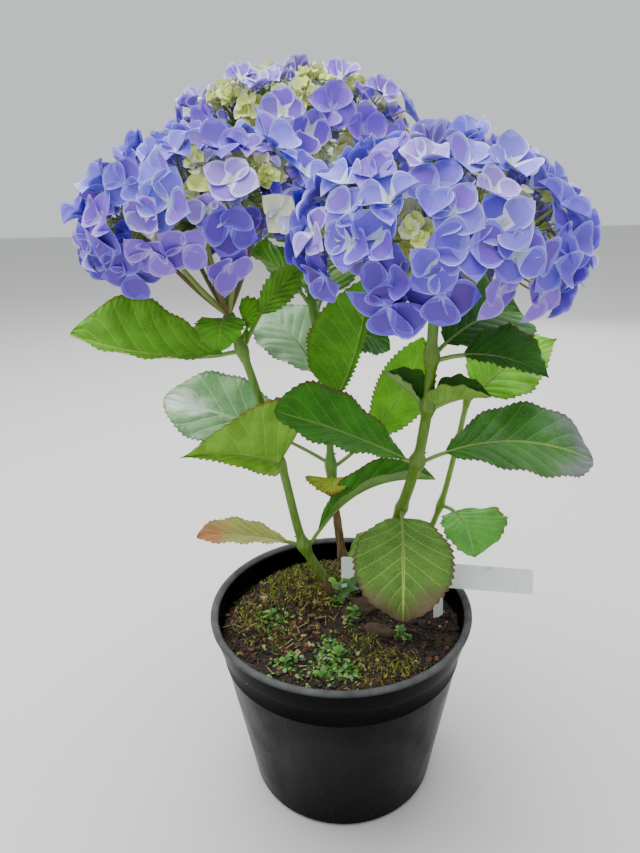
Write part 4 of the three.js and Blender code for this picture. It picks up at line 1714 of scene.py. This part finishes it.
        back = [
            (-69, 12, 29, 20, 0.3, Coat.PURPLE), (-39, 6, 29, 0, 0.4, Coat.PURPLE),
            (8, -5, 31, 20, 0.55, Coat.FROST), (-3, 8, 29, 0, 0.5, Coat.FROST),
            (18, 10, 32, 30, 0.3, Coat.PURPLE), (-12, 31, 30, 10, 0.6, Coat.FROST),
            (-31, 42, 27, 0, 0.6, Coat.FROST), (-57, 20, 28, 0, 0.5, Coat.FROST),
            (71, 17, 30, 10, 0.4, Coat.BRIGHT), (52, -11, 30, 30, 0.3, Coat.PURPLE),
            (32, -4, 31, 0, 0.4, Coat.PURPLE), (50, 26, 28, 20, 0.5, Coat.FROST),
            (30, 40, 28, 30, 0.6, Coat.FROST),
        ]
        right_young = [(-22, 21), (-17, 11), (-15, -10), (10, 18), (-50, 12)]
        left_young = [(15, 40), (41, 20), (46, 16), (10, 17), (-7, 4), (16, -11)]
        back_young = [(-48, 28), (-40, 34), (4, 29), (16, 52), (0, 14), (-20, 13), (27, 28), (33, 58),
                      (-20, 50), (-60, 48), (60, 48), (-25, 24), (120, 40), (-120, 40), (180, 40)]
        return [
            Head("right", (56, -44, 401), (81, 72, 54), (4, 6), 150, 29, 8, blues,
                 [Named(*row) for row in right], right_young),
            Head("left", (-82, 4, 413), (78, 68, 50), (-12, 0), 136, 28, 3, violets,
                 [Named(*row) for row in left], left_young),
            Head("back", (-26, 84, 461), (86, 70, 44), (0, -4), 200, 22, 5, pales,
                 [Named(*row) for row in back], back_young,
                 (Coat.FROST, Coat.CREAM, Coat.PALE, Coat.FROST, Coat.MAUVE), 0.2),
        ]

    def build(self) -> None:
        """Builds the whole plant."""
        stems = self.stems()
        leaves = self.leaves()
        for leaf in leaves:
            stems[leaf.stem].joints.append(leaf.at)
        for stem in stems.values():
            stem.build()
        for leaf in leaves:
            leaf.build(stems[leaf.stem])
        for head in self.heads():
            head.build(stems[head.stem])


@dataclass
class Studio:
    """The floor, the soft lights and the camera."""

    distance: float = 415.0
    height: float = 432.0
    pitch: float = 20.2
    yaw: float = -1.67
    roll: float = -1.33
    focal_pixels: float = 664.0
    image_height: float = 853.0
    sensor: float = 36.0
    clip: float = 0.01
    aim: Triple = (0, 0, 0.28)
    sky: Patch = (0.95, 0.98, 1.0, 1.0)
    sky_strength: float = 0.78
    floor_size: float = 6.0

    LIGHTS = (
        ("sky_light", (-0.3, 0.2, 1.7), 1.8, 54.0), ("front_light", (-0.8, -1.5, 0.9), 1.6, 6.0),
        ("back_light", (0.5, 1.5, 0.9), 1.4, 12.0),
    )

    def camera(self) -> None:
        """Places the camera at the photograph's angle."""
        pitch, yaw, roll = (math.radians(angle) for angle in (self.pitch, self.yaw, self.roll))
        ahead = Vector((math.sin(yaw) * math.cos(pitch), math.cos(yaw) * math.cos(pitch), -math.sin(pitch)))
        right = ahead.cross(UP).normalized()
        up = right.cross(ahead)
        right, up = (right * math.cos(roll) + up * math.sin(roll),
                     up * math.cos(roll) - right * math.sin(roll))
        data = bpy.data.cameras.new("camera")
        data.sensor_width = self.sensor
        data.lens = self.focal_pixels / self.image_height * self.sensor
        data.clip_start = self.clip
        camera = linked("camera", data)
        camera.matrix_world = Matrix((
            (right.x, up.x, -ahead.x, 0),
            (right.y, up.y, -ahead.y, -self.distance * MM),
            (right.z, up.z, -ahead.z, self.height * MM),
            (0, 0, 0, 1),
        ))
        bpy.context.scene.camera = camera

    def light(self, name: str, place: Triple, size: float, power: float) -> None:
        """Adds a soft square light that faces the plant.

        Args:
            name: Its name.
            place: Where it is, in metres.
            size: The length of its side, in metres.
            power: Its power in watts.
        """
        data = bpy.data.lights.new(name, "AREA")
        data.size = size
        data.energy = power
        spot = Vector(place)
        linked(name, data).matrix_world = aimed(spot, Vector(self.aim) - spot, "-Z")

    def floor(self) -> None:
        """Lays the pale floor."""
        mesh = bmesh.new()
        bmesh.ops.create_grid(mesh, x_segments=4, y_segments=4, size=self.floor_size)
        data = bpy.data.meshes.new("floor")
        mesh.to_mesh(data)
        mesh.free()
        data.materials.append(FloorFinish().material())
        floor = linked("floor", data)

    def build(self) -> None:
        """Sets up the studio."""
        self.camera()
        self.floor()
        for row in self.LIGHTS:
            self.light(*row)
        world = bpy.data.worlds.new("studio")
        world.use_nodes = True
        background = world.node_tree.nodes["Background"]
        background.inputs["Color"].default_value = self.sky
        background.inputs["Strength"].default_value = self.sky_strength
        bpy.context.scene.world = world


def main() -> None:
    """Builds the studio, the pot, the compost, the plant and its labels."""
    logging.basicConfig(level=logging.INFO, format="%(message)s")
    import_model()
    Studio().build()
    pot = Pot()
    pot.build()
    Compost(pot).build()
    Label("plain_label", "plant_label", 70, 14, 144.8, 74, 19, -5, 7, 14).build()
    Label("plain_tag", "small_tag", 1, 24, 146, 12, 17, -4, 4, 12).build()
    Plant().build()


if __name__ == "__main__":
    main()
